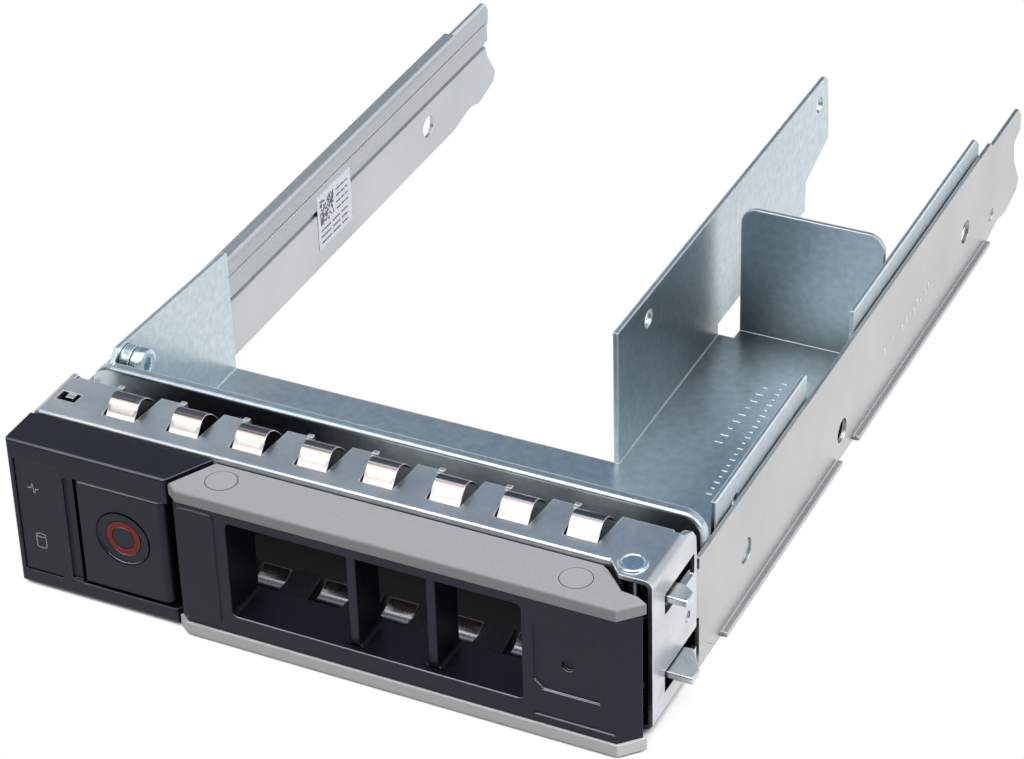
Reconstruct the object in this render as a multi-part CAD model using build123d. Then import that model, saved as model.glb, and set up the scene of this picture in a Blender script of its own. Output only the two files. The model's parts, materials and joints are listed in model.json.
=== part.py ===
from build123d import *

import math
import os

# All sizes are in millimetres. While building, x = 0 is the outer face of the right rail and
# x runs negative to the left, y = 0 is the front plane of the cover, and z = 0 is the table.
# The last step moves every part so that the middle of the base is the origin.

# Overall tray
tray_width = 107.0
tray_length = 168.0
cover_top = 28.0

# Front cover, one folded sheet
cover_inset = 2.0
cover_width = tray_width - cover_inset
cover_sheet = 0.8
cover_base = 0.9
cover_bend = 1.4
cover_front = 2.5
cover_depth = 13.0
cover_side_depth = 16.2
cover_step_outer = 7.5
cover_step_inner = 5.3
cover_lip_depth = 3.0
cover_lip_round = 0.6
cover_hole_margin = 2.0
cover_hole_width = 3.3
cover_hole_from = cover_width - cover_hole_margin
cover_hole_to = cover_hole_from - cover_hole_width
cover_hole_front = 6.6
cover_hole_rear = 8.8
cover_tab_width = 1.4
cover_tab_length = 1.1
cover_nub_width = 1.0
cover_nub_height = 0.5
cover_corner_drop = 5.7
cover_corner_run = 3.6
clinch_y = 12.9
clinch_z = 12.8
clinch_radius = 0.95
clinch_depth = 0.3

# Shielding fingers
finger_count = 8
finger_margin_left = 13.7
finger_margin_right = 13.81
finger_first = cover_width - finger_margin_left
finger_pitch = (finger_first - finger_margin_right) / (finger_count - 1)
finger_width = 5.0
finger_sheet = 0.2
finger_rise = 2.0
finger_rise_bottom = 0.8
finger_foot = 5.7
finger_end = 12.6
finger_bow = (
    (0.0, 0.0),
    (0.07, 0.14),
    (0.19, 0.52),
    (0.31, 0.86),
    (0.43, 1.0),
    (0.6, 0.93),
    (0.8, 0.6),
    (1.0, 0.05),
)
finger_strip_front = 3.5
finger_strip_margin = 4.0
slot_front = 5.6
slot_front_width = 5.5
slot_rear_width = 7.0

# Pivot of the handle
pivot_x = 4.4
pivot_y = 3.1
pin_radius = 1.5
pin_head_radius = 2.35
pin_head_height = 0.4
running_gap = 0.05

# Hook lever
hook_sheet = 1.2
hook_upper_drop = 5.8
hook_upper_top = cover_top - hook_upper_drop
hook_lower_top = 8.4
hook_upper_reach = 3.3
hook_lower_reach = 4.2
hook_front = 4.9
hook_upper_rear = 8.9
hook_lower_rear = 11.7
hook_flat = 2.5
hook_ring_radius = 3.0
hook_web_left = 15.0
hook_web_right = 9.0

# Side windows for the lever hooks, in the right wall of the cover
window_front = 4.4
window_upper_rear = 15.4
window_lower_rear = 16.9
window_upper_below = 1.9
window_upper_above = 0.6
window_lower_below = 2.2
window_lower_above = 0.3
window_upper_low = hook_upper_top - hook_sheet - window_upper_below
window_upper_high = hook_upper_top + window_upper_above
window_lower_low = hook_lower_top - hook_sheet - window_lower_below
window_lower_high = hook_lower_top + window_lower_above
window_round = 0.5

# Bezel housing with the release button and the status strip
housing_overhang = 0.1
housing_width = 28.1
housing_slant = 4.1
housing_left = cover_width + housing_overhang
housing_right = housing_left - housing_width
housing_rear_right = housing_right - housing_slant
housing_front = 5.1
housing_top_drop = 0.6
housing_top = cover_top - housing_top_drop
housing_low = 0.4
housing_round = 0.6
button_margin_left = 11.8
button_margin_right = 0.5
button_margin_low = 3.1
button_margin_high = 4.8
button_left = housing_left - button_margin_left
button_right = housing_right + button_margin_right
button_low = housing_low + button_margin_low
button_high = housing_top - button_margin_high
button_front = 4.9
button_thickness = 3.2
button_gap = 0.3
button_travel = 2.0
button_round = 0.5
button_side_round = 1.6
button_dish_radius = 4.6
button_dish_depth = 0.15
groove_width = 1.8
groove_depth = 0.5
stem_radius = 1.6
button_centre_inset = 19.5
button_centre_x = housing_left - button_centre_inset
button_centre_z = (housing_low + housing_top) / 2
ring_outer = 3.0
ring_inner = 2.0
ring_depth = 0.4
button_floor = 0.6
spring_pocket = 3.4
spring_pocket_floor = 0.6
button_spring_radius = 2.7
button_spring_wire = 0.4
button_spring_turns = 3.0
strip_margin_left = 1.0
strip_margin_low = 2.6
strip_margin_high = 3.4
strip_width = 7.8
strip_left = housing_left - strip_margin_left
strip_right = strip_left - strip_width
strip_low = housing_low + strip_margin_low
strip_high = housing_top - strip_margin_high
strip_chamfer = 1.6
strip_recess = 0.3
strip_thickness = 0.8

# Handle
handle_gap = 0.6
handle_left = housing_right - handle_gap
handle_rear_left = housing_rear_right - handle_gap
handle_tip_y = 5.1
handle_front_y = 6.5
handle_nose_y = 6.9
handle_tip_run = 1.9
handle_right = 2.7
handle_end = 0.6
handle_end_y = 3.5
handle_rear = 2.4
handle_top_drop = 0.8
handle_cap_top = cover_top - handle_top_drop
handle_cap_height = 2.1
handle_base = 0.15
handle_base_height = 2.35
handle_inset = 0.35
handle_round = 0.5
plug_radius = 2.55
plug_depth = 1.2
plug_left_inset = 7.2
plug_left_x = handle_left - plug_left_inset
plug_left_y = 1.5
plug_right_x = 10.9
plug_right_y = 2.2
grip_margin_left = 10.0
grip_margin_low = 5.85
grip_margin_high = 4.0
grip_left = handle_left - grip_margin_left
grip_right = 17.8
grip_low = handle_base + grip_margin_low
grip_high = handle_cap_top - grip_margin_high
grip_rib_right = 15.2
grip_rib_pitch = 13.05
grip_rib_two = grip_right + grip_rib_right
grip_rib_one = grip_rib_two + grip_rib_pitch
grip_rib_width = 1.5
grip_rib_setback = 1.1
grip_round = 0.8
panel_left = 15.95
panel_right = 5.5
panel_margin_low = 8.75
panel_margin_high = 6.7
panel_low = handle_base + panel_margin_low
panel_high = handle_cap_top - panel_margin_high
panel_chamfer = 1.5
panel_depth = 0.4
dimple_x = 10.6
dimple_rise = 5.3
dimple_z = panel_low + dimple_rise
dimple_radius = 1.0
dimple_depth = 0.5
rim_low = 4.0
rim_height = 0.5
badge_inset = 1.6
badge_width = 6.5
badge_left = handle_left - badge_inset
badge_right = badge_left - badge_width
badge_raise = 0.25
badge_margin = 1.0
barrel_radius = 3.2
barrel_gap = 0.6
barrel_low = hook_lower_top + barrel_gap
barrel_high = hook_upper_top - hook_sheet - barrel_gap

# Latch tooth on the handle and the sliding catch that holds it
tooth_inset = 7.6
tooth_right = handle_left - tooth_inset
tooth_neck = 1.0
tooth_head = 3.5
tooth_lead = 0.9
tooth_root = handle_rear - handle_inset
tooth_rear = 7.5
tooth_slope = (tooth_head - tooth_neck) / (tooth_rear - tooth_lead - tooth_root)
latch_height = 4.0
latch_low = button_centre_z - latch_height / 2
latch_high = button_centre_z + latch_height / 2
latch_gap = 0.3
catch_inset = 10.1
catch_left = housing_left - catch_inset
catch_thickness = 1.5
catch_travel = 1.2
catch_setback = 1.8
catch_rear = tooth_rear - catch_setback
catch_front = catch_rear - catch_thickness
catch_guide_margin_left = 3.0
catch_guide_margin_right = 1.0
catch_guide_left = catch_left - catch_guide_margin_left
catch_guide_right = housing_right + catch_guide_margin_right
catch_guide_wall = 1.0
catch_guide_return = 1.1

# Wedge at the end of the button's stem, which draws the catch aside as the button goes in
wedge_height = 1.6
wedge_right = 1.4
wedge_gap = 0.1
wedge_slope = catch_travel / button_travel
wedge_front = catch_front - latch_gap - button_travel
wedge_end = catch_rear - latch_gap

# Handle torsion spring
torsion_radius = 2.4
torsion_wire = 0.5
torsion_turns = 3.5
torsion_low = 2.4
torsion_high = 6.2
torsion_leg = 3.2

# Side rails
rail_sheet = 0.8
rail_height = 20.4
rail_front = 17.4
rail_lip = 1.05
lip_one_front = 25.9
lip_one_rear = 75.2
lip_two_front = 82.7
lip_two_end = 18.5
lip_two_rear = tray_length - lip_two_end
rail_hole_radius = 2.1
rail_hole_front = 35.9
rail_hole_pitch = 101.6
rail_hole_middle = 41.3
rail_hole_z = 9.2
rail_hole_middle_z = 5.2
rail_tab_low = 9.6
rail_tab_high = 18.4
rail_left_tab_low = 2.8
rail_left_tab_high = 9.4
rail_left_hole_z = 6.2
rail_left_front = 18.8
rail_tab_front = 7.5
rail_tab_ramp = 0.9
rail_dimple_end = 15.8
rail_dimple_y = tray_length - rail_dimple_end
rail_dimple_z = 4.6
rail_dimple_radius = 1.3
rail_dimple_depth = 0.3
rail_flange = 1.5
rail_flange_end = 18.0
rail_flange_rear = tray_length - rail_flange_end
rail_tail_shape = (
    (18.5, 0.0),
    (11.5, 0.06),
    (7.0, 0.02),
    (1.0, 0.09),
    (0.0, 0.18),
    (3.4, 0.44),
    (4.2, 0.65),
    (1.0, 0.71),
    (0.9, 0.86),
    (2.6, 0.95),
)
rail_step = 0.7
rail_tail_drop = 1.0
rail_flange_front = 33.0
rail_left_hole_front = 37.6

# Light pipes on the left rail
pipe_height = 3.8
pipe_pitch = 4.1
pipe_step_gap = 1.1
pipe_end = 3.0
pipe_upper_low = rail_height - rail_sheet - pipe_height
pipe_lower_low = pipe_upper_low - pipe_pitch
rail_step_z = pipe_lower_low - pipe_step_gap
pipe_rear = tray_length - pipe_end
pipe_jog_rear = 20.9
pipe_jog_front = 18.2
pipe_front_inset = 1.8
pipe_front_x = cover_width - pipe_front_inset
pipe_channel_gap = 0.2
pipe_turn = 0.5

# Adapter bracket for the smaller drive, one folded sheet
bracket_sheet = 0.9
bracket_side_gap = 2.8
bracket_right_gap = 0.4
bracket_wall_gap = 0.1
bracket_left = tray_width - rail_sheet - bracket_side_gap
bracket_right = rail_sheet + bracket_right_gap
bracket_front = 22.0
bracket_base = 1.1
bracket_wall_top = 24.8
bracket_wall_round = 3.8
bracket_wall_left = tray_width - rail_sheet - bracket_wall_gap
bracket_wall_right = rail_sheet + bracket_wall_gap
bracket_rim = 1.8
bracket_rim_round = 0.7
bracket_strip_rear = 58.6
bracket_rear = 104.0
ear_front_top = 26.6
ear_rear_top = 24.9
ear_nose = 23.5
ear_nose_run = 2.2
inner_wall_x = 31.4
inner_wall_top = 27.0
inner_wall_rear = 151.5
inner_wall_round = 2.0
inner_wall_step_rear = 152.5
inner_wall_step_z = 13.6
inner_wall_step_y = 141.4
inner_wall_step_low = 10.0
inner_wall_low = 4.0
inner_wall_low_front = 100.5
drive_hole_front = 70.8
drive_hole_pitch = 76.6
drive_hole_z = 22.7
drive_hole_radius = 1.5
cross_wall_gap_left = 2.9
cross_wall_gap_right = 1.8
cross_wall_left = inner_wall_x - cross_wall_gap_left
cross_wall_right = bracket_right + cross_wall_gap_right
cross_wall_top = 26.5
cross_wall_round = 3.0
flange_low_top = 6.0
flange_low_front = 24.0
flange_front_from = 26.4
flange_front_to = 63.4
flange_front_top = 24.1
flange_rear_from = 84.4
flange_rear_to = 146.4
flange_rear_top = 23.5
flange_rear_low = 8.0
flange_round = 1.5
boss_radius = 3.2
spigot_clearance = 0.1
spigot_recess = 0.45
flange_hole_radius = 1.3
flange_hole_drop = 4.7
flange_hole_y = 34.0

# Shoulder screw on the ear, with its collar
screw_y = 26.1
screw_z = 23.4
screw_radius = 1.5
screw_end = 0.6
screw_head_radius = 2.6
screw_head_width = 2.2
screw_socket_radius = 1.2
screw_socket_depth = 1.6
collar_radius = 2.7
collar_width = 1.8

# Label on the left rail
label_front = 95.6
label_rear = 108.1
label_low = 3.4
label_high = 14.2
label_thickness = 0.1

# Room added so that a cutting shape runs clear of the face it starts from, and the slack
# with which an edge is picked by its place
over = 1.0
pick = 0.01


def block(x_from, x_to, y_from, y_to, z_from, z_to):
    """A plain box between two corners."""
    middle = Pos((x_from + x_to) / 2, (y_from + y_to) / 2, (z_from + z_to) / 2)
    return middle * Box(abs(x_to - x_from), abs(y_to - y_from), abs(z_to - z_from))


def rod_x(y, z, radius, x_from, x_to):
    """A cylinder along x."""
    return Pos((x_from + x_to) / 2, y, z) * Rot(0, 90, 0) * Cylinder(radius, abs(x_to - x_from))


def rod_y(x, z, radius, y_from, y_to):
    """A cylinder along y."""
    return Pos(x, (y_from + y_to) / 2, z) * Rot(90, 0, 0) * Cylinder(radius, abs(y_to - y_from))


def rod_z(x, y, radius, z_from, z_to):
    """A cylinder along z."""
    return Pos(x, y, (z_from + z_to) / 2) * Cylinder(radius, abs(z_to - z_from))


def outline(points, radius=0.0, corners=None):
    """A flat face from corner points, with the named corners rounded."""
    face = make_face(Polyline(*points, close=True))
    if radius <= 0.0:
        return face
    wanted = corners or points
    chosen = []
    for vertex in face.vertices():
        for point in wanted:
            if math.hypot(vertex.X - point[0], vertex.Y - point[1]) < radius / 100:
                chosen.append(vertex)
    return fillet(chosen, radius)


def plan_prism(face, z_from, z_to):
    """A face drawn in plan (x, y), raised between two heights."""
    return extrude(Pos(0, 0, z_from) * face, amount=z_to - z_from)


def side_prism(face, x_from, x_to):
    """A face drawn from the side (y, z), carried along x."""
    return extrude(Plane.YZ.offset(x_from) * face, amount=x_to - x_from)


def front_prism(face, y_from, y_to):
    """A face drawn from the front (x, z), carried along y."""
    return extrude(Plane.XZ.offset(-y_to) * face, amount=y_to - y_from)


def finger_centres():
    """The x position of each shielding finger."""
    return [-finger_first + number * finger_pitch for number in range(finger_count)]


def slot_face(centre):
    """Plan of one open slot in the cover, wider at the back."""
    return outline([
        (centre - slot_front_width / 2, slot_front),
        (centre + slot_front_width / 2, slot_front),
        (centre + slot_rear_width / 2, cover_depth + over),
        (centre - slot_rear_width / 2, cover_depth + over),
    ])


def cover_shell():
    """The folded sheet: top, bottom and both side walls with rounded bends."""
    height = cover_top - cover_base
    outer = RectangleRounded(cover_width, height, cover_bend)
    inner = RectangleRounded(
        cover_width - 2 * cover_sheet,
        height - 2 * cover_sheet,
        cover_bend - cover_sheet,
    )
    ring = Pos(-cover_width / 2, (cover_top + cover_base) / 2) * (outer - inner)
    shell = front_prism(ring, 0, cover_side_depth)
    step = outline([
        (-cover_width - over, -over),
        (-cover_width - over, cover_front),
        (-cover_step_outer, cover_front),
        (-cover_step_inner, 0),
        (-cover_step_inner, -over),
    ])
    shell -= plan_prism(step, cover_base - over, cover_top + over)
    shell -= block(
        -cover_width + cover_bend,
        -cover_bend,
        cover_depth,
        cover_side_depth + over,
        cover_base - over,
        cover_top + over,
    )
    return shell


def cover_corner_cut(x_from, x_to):
    """The rounded upper rear corner of a side wall."""
    start = cover_side_depth - cover_corner_run
    face = outline([
        (start, cover_top + over),
        (start, cover_top - cover_corner_drop * 0.05),
        (start + cover_corner_run * 0.6, cover_top - cover_corner_drop * 0.16),
        (start + cover_corner_run * 0.93, cover_top - cover_corner_drop * 0.45),
        (cover_side_depth, cover_top - cover_corner_drop),
        (cover_side_depth + over, cover_top - cover_corner_drop),
        (cover_side_depth + over, cover_top + over),
    ])
    return side_prism(face, x_from, x_to)


def side_window(low, high, rear):
    """A rounded window through the right wall of the cover."""
    points = [(window_front, low), (rear, low), (rear, high), (window_front, high)]
    if rear > cover_side_depth:
        return side_prism(outline(points), -cover_sheet - over, over)
    return side_prism(outline(points, window_round), -cover_sheet - over, over)


def front_cover():
    """Plated steel cover with finger slots, hook windows and a folded front lip."""
    cover = cover_shell()
    lip = block(
        -cover_width + cover_bend,
        -cover_step_outer,
        cover_front,
        cover_front + cover_sheet,
        cover_top - cover_lip_depth,
        cover_top,
    )
    cover += lip
    bend = cover.edges().filter_by(Axis.X).filter_by_position(
        Axis.Y, cover_front - pick, cover_front + pick
    )
    cover = fillet(bend.sort_by(Axis.Z)[-1], cover_lip_round)
    for centre in finger_centres():
        cover -= plan_prism(slot_face(centre), cover_base - over, cover_top + over)
    cover -= cover_corner_cut(-cover_bend - cover_sheet, over)
    cover -= cover_corner_cut(-cover_width - over, -cover_width + cover_bend + cover_sheet)
    cover -= side_window(window_upper_low, window_upper_high, window_upper_rear)
    cover -= side_window(window_lower_low, window_lower_high, window_lower_rear)
    cover -= block(
        -cover_hole_from,
        -cover_hole_to,
        cover_hole_front,
        cover_hole_rear,
        cover_top - cover_sheet - over,
        cover_top + over,
    )
    tab_middle = -(cover_hole_from + cover_hole_to) / 2
    cover += block(
        tab_middle - cover_tab_width / 2,
        tab_middle + cover_tab_width / 2,
        cover_hole_rear - cover_tab_length,
        cover_hole_rear,
        cover_top - cover_sheet,
        cover_top - cover_sheet / 4,
    )
    for centre in finger_centres():
        rear_edge = centre - slot_rear_width / 2
        cover += block(
            rear_edge - cover_nub_width / 2,
            rear_edge + cover_nub_width / 2,
            cover_depth - cover_sheet,
            cover_depth,
            cover_top - cover_sheet / 2,
            cover_top + cover_nub_height,
        )
    cover -= rod_z(-pivot_x, pivot_y, pin_radius, cover_base - over, cover_top + over)
    cover -= rod_x(clinch_y, clinch_z, clinch_radius, -clinch_depth, over)
    return cover


def finger_profile(rise, base):
    """Side view of one bowed finger that rises above its strip."""
    span = finger_end - finger_foot
    upper = [(finger_foot + along * span, base + up * rise) for along, up in finger_bow]
    lower = []
    for number, (y, z) in enumerate(upper):
        before = upper[max(number - 1, 0)]
        after = upper[min(number + 1, len(upper) - 1)]
        run = after[0] - before[0]
        climb = after[1] - before[1]
        length = math.hypot(run, climb)
        lower.append((y + finger_sheet * climb / length, z - finger_sheet * run / length))
    edges = Spline(*upper) + Line(upper[-1], lower[-1])
    edges += Spline(*reversed(lower)) + Line(lower[0], upper[0])
    return make_face(edges)


def finger_strip(rise):
    """A shielding strip lying against a face at z = 0, with bowed fingers above it."""
    left = -finger_first - finger_width / 2 - finger_strip_margin
    right = left + (finger_count - 1) * finger_pitch + finger_width + 2 * finger_strip_margin
    strip = block(left, right, finger_strip_front, finger_foot, -finger_sheet, 0)
    profile = finger_profile(rise, 0)
    for centre in finger_centres():
        root = block(
            centre - finger_width / 2,
            centre + finger_width / 2,
            finger_foot - finger_sheet,
            finger_foot + finger_sheet,
            -finger_sheet,
            0,
        )
        strip += root
        strip += side_prism(profile, centre - finger_width / 2, centre + finger_width / 2)
    return strip


def emi_fingers_top():
    """Finger strip under the top of the cover."""
    return Pos(0, 0, cover_top - cover_sheet) * finger_strip(finger_rise + cover_sheet)


def emi_fingers_bottom():
    """Finger strip over the bottom of the cover, its bows pressed nearly flat by the table."""
    flipped = mirror(finger_strip(finger_rise_bottom + cover_sheet), about=Plane.XY)
    return Pos(0, 0, cover_base + cover_sheet) * flipped


def housing_plan():
    """Plan of the bezel housing, its right end cut on a slant beside the handle."""
    return outline([
        (-housing_left, -housing_front),
        (-housing_right, -housing_front),
        (-housing_rear_right, cover_front),
        (-housing_left, cover_front),
    ])


def strip_face(margin=0.0):
    """Front view of the status strip with its cut corner."""
    return outline([
        (-strip_left + margin, strip_low + margin),
        (-strip_right - strip_chamfer * 0.7 - margin, strip_low + margin),
        (-strip_right - margin, strip_low + strip_chamfer * 1.4 + margin),
        (-strip_right - margin, strip_high - margin),
        (-strip_left + margin, strip_high - margin),
    ])


def pipe_channel(low):
    """Clearance channel in the housing for one light pipe."""
    return block(
        -pipe_front_x - pipe_channel_gap,
        -pipe_front_x + rail_step + pipe_channel_gap,
        -housing_front + strip_recess,
        cover_front + over,
        low - pipe_channel_gap,
        low + pipe_height + pipe_channel_gap,
    )


def catch_guides():
    """Two ribs with inward returns that hold the sliding catch behind the housing."""
    guides = None
    channel_rear = catch_rear + latch_gap
    outer_rear = channel_rear + catch_guide_return
    for side in (-1, 1):
        edge = latch_high if side > 0 else latch_low
        near = edge + side * latch_gap
        far = near + side * catch_guide_wall
        wall = block(
            -catch_guide_left,
            -catch_guide_right,
            cover_front - spring_pocket_floor / 2,
            outer_rear,
            min(near, far),
            max(near, far),
        )
        lip = edge - side * catch_guide_wall
        hook = block(
            -catch_guide_left,
            -catch_guide_right,
            channel_rear,
            outer_rear,
            min(lip, far),
            max(lip, far),
        )
        both = wall + hook
        guides = both if guides is None else guides + both
    return guides


def bezel_housing():
    """Black moulded housing with the button well, strip recess and light channels."""
    housing = plan_prism(housing_plan(), housing_low, housing_top)
    front_edges = housing.edges().filter_by_position(
        Axis.Y, -housing_front - pick, -housing_front + pick
    )
    housing = fillet(front_edges, housing_round)
    housing -= block(
        -button_left - button_gap,
        -housing_rear_right + over,
        -housing_front - over,
        button_floor,
        button_low - button_gap,
        button_high + button_gap,
    )
    housing -= front_prism(
        strip_face(), -housing_front - over, -housing_front + strip_recess + strip_thickness
    )
    groove_right = -button_left - button_gap + over
    housing -= block(
        groove_right - groove_width - over,
        groove_right,
        -housing_front - over,
        -housing_front + groove_depth,
        button_low,
        button_high,
    )
    housing -= rod_y(
        -button_centre_x,
        button_centre_z,
        spring_pocket,
        -over,
        cover_front - spring_pocket_floor,
    )
    housing -= rod_y(
        -button_centre_x,
        button_centre_z,
        stem_radius + button_gap,
        -over,
        cover_front + over,
    )
    housing -= pipe_channel(pipe_upper_low)
    housing -= pipe_channel(pipe_lower_low)
    housing += catch_guides()
    return housing


def status_strip():
    """Smoked status window set into the housing."""
    start = -housing_front + strip_recess
    return front_prism(strip_face(), start, start + strip_thickness)


def wedge_flank(y):
    """Where the sloping flank of the wedge is, at a depth y, with the button at rest."""
    wide = math.sqrt(stem_radius**2 - wedge_height**2 / 4)
    return -button_centre_x - wide + wedge_slope * (y - wedge_front)


def button_wedge():
    """The wedge that the stem carries through the slot of the catch."""
    right = -button_centre_x + wedge_right
    start = wedge_front - over
    face = outline([
        (wedge_flank(wedge_front), start),
        (right, start),
        (right, wedge_end),
        (wedge_flank(wedge_end), wedge_end),
        (wedge_flank(wedge_front), wedge_front),
    ])
    half = wedge_height / 2
    return plan_prism(face, button_centre_z - half, button_centre_z + half)


def release_button():
    """Push button with a dished face, a ring groove and a stem to the catch."""
    front = -button_front
    button = block(
        -button_left,
        -button_right,
        front,
        front + button_thickness,
        button_low,
        button_high,
    )
    side = button.edges().filter_by(Axis.Z).filter_by_position(Axis.Y, front - pick, front + pick)
    button = fillet(side.sort_by(Axis.X)[-1], button_side_round)
    rim = button.faces().filter_by(Plane.XZ).sort_by(Axis.Y)[0].edges()
    button = fillet(rim, button_round)
    face = front + button_dish_depth
    button -= rod_y(-button_centre_x, button_centre_z, button_dish_radius, front - over, face)
    button -= rod_y(-button_centre_x, button_centre_z, ring_outer, front, face + ring_depth)
    button += rod_y(-button_centre_x, button_centre_z, ring_inner, face, face + ring_depth)
    button += rod_y(
        -button_centre_x,
        button_centre_z,
        stem_radius,
        front + button_thickness / 2,
        wedge_front,
    )
    return button + button_wedge()


def button_ring():
    """Orange ring inlaid in the button face."""
    face = -button_front + button_dish_depth
    ring = rod_y(-button_centre_x, button_centre_z, ring_outer, face, face + ring_depth)
    ring -= rod_y(-button_centre_x, button_centre_z, ring_inner, face - over, face + ring_depth)
    return ring


def coil(radius, wire, turns, length):
    """An open coil along z that starts at z = 0."""
    path = Helix(pitch=length / turns, height=length, radius=radius)
    start = Plane(origin=path @ 0, z_dir=path % 0)
    return sweep(start * Circle(wire / 2), path=path, is_frenet=True)


def button_spring():
    """Return spring between the button and the pocket floor."""
    front = -button_front + button_thickness
    length = cover_front - spring_pocket_floor - front - button_spring_wire
    spring = coil(button_spring_radius, button_spring_wire, button_spring_turns, length)
    start = front + button_spring_wire / 2
    return Pos(-button_centre_x, start, button_centre_z) * Rot(-90, 0, 0) * spring


def tooth_flank(y):
    """Where the holding face of the tooth is, at a depth y, with the handle closed."""
    return -tooth_right - tooth_neck - tooth_slope * (y - tooth_root)


def release_catch():
    """Sliding catch whose nose holds the tooth, with a slot that the wedge pushes on."""
    bar = outline([
        (-catch_left, catch_front),
        (tooth_flank(catch_front) - latch_gap, catch_front),
        (tooth_flank(catch_rear) - latch_gap, catch_rear),
        (-catch_left, catch_rear),
    ])
    catch = plan_prism(bar, latch_low, latch_high)
    right = -button_centre_x + wedge_right + catch_travel + latch_gap
    slot = outline([
        (wedge_flank(catch_front - over) - wedge_gap, catch_front - over),
        (right, catch_front - over),
        (right, catch_rear + over),
        (wedge_flank(catch_rear + over) - wedge_gap, catch_rear + over),
    ])
    half = wedge_height / 2 + latch_gap
    return catch - plan_prism(slot, button_centre_z - half, button_centre_z + half)


def handle_plan():
    """Plan of the handle caps, chamfered at both ends."""
    return outline([
        (-handle_left, -handle_tip_y),
        (-handle_left + handle_tip_run, -handle_front_y),
        (-handle_right, -handle_nose_y),
        (handle_end, -handle_end_y),
        (-handle_end * 2, -handle_end_y + handle_round * 2.2),
        (-handle_right - handle_round * 2.2, -handle_end_y + handle_round * 2.8),
        (-cover_step_outer - handle_round * 0.2, handle_rear - handle_round * 1.4),
        (-cover_step_outer - handle_round * 2.4, handle_rear),
        (-handle_rear_left, handle_rear),
    ])


def cap_with_plug_holes(z_from, z_to, plug_from, plug_to):
    """One grey cap, its outer edge rounded, with two seats for the plugs."""
    cap = plan_prism(handle_plan(), z_from, z_to)
    outer = z_to if plug_to >= z_to else z_from
    rim = cap.edges().filter_by_position(Axis.Z, outer - pick, outer + pick)
    cap = fillet(rim, handle_round)
    for x, y in ((-plug_left_x, -plug_left_y), (-plug_right_x, -plug_right_y)):
        cap -= rod_z(x, y, plug_radius, plug_from, plug_to)
    return cap


def handle_top_cap():
    """Grey cap over the handle."""
    low = handle_cap_top - handle_cap_height
    return cap_with_plug_holes(
        low, handle_cap_top, handle_cap_top - plug_depth, handle_cap_top + over
    )


def handle_bottom_cap():
    """Grey cap under the handle."""
    high = handle_base + handle_base_height
    return cap_with_plug_holes(handle_base, high, handle_base - over, handle_base + plug_depth)


def handle_plugs():
    """The four round plugs that fix the caps."""
    plugs = []
    for x, y in ((-plug_left_x, -plug_left_y), (-plug_right_x, -plug_right_y)):
        plugs.append(rod_z(x, y, plug_radius, handle_cap_top - plug_depth, handle_cap_top))
        plugs.append(rod_z(x, y, plug_radius, handle_base, handle_base + plug_depth))
    return Compound(children=plugs)


def grip_window(left, right):
    """One through window of the grip, its corners rounded."""
    points = [(left, grip_low), (right, grip_low), (right, grip_high), (left, grip_high)]
    return front_prism(outline(points, grip_round), -handle_nose_y - over, handle_rear + over)


def handle_barrel():
    """The neck and bearing that carry the handle on its pivot pin."""
    neck = outline([
        (-hook_web_right, handle_rear - handle_inset),
        (-pivot_x - barrel_radius * 0.25, pivot_y + barrel_radius * 0.96),
        (-pivot_x + barrel_radius * 0.78, pivot_y - barrel_radius * 0.6),
        (-pivot_x, -handle_end_y + handle_round * 3),
        (-cover_step_outer - handle_round, -handle_end_y + handle_round),
    ])
    barrel = plan_prism(neck, barrel_low, barrel_high)
    return barrel + rod_z(-pivot_x, pivot_y, barrel_radius, barrel_low, barrel_high)


def latch_tooth():
    """The tooth at the free end: a neck that widens to a head with a sloping lead."""
    head = -tooth_right - tooth_head
    face = outline([
        (-tooth_right, tooth_root - over),
        (-tooth_right, tooth_rear),
        (head + tooth_lead, tooth_rear),
        (head, tooth_rear - tooth_lead),
        (tooth_flank(tooth_root), tooth_root),
        (tooth_flank(tooth_root), tooth_root - over),
    ])
    return plan_prism(face, latch_low, latch_high)


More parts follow.
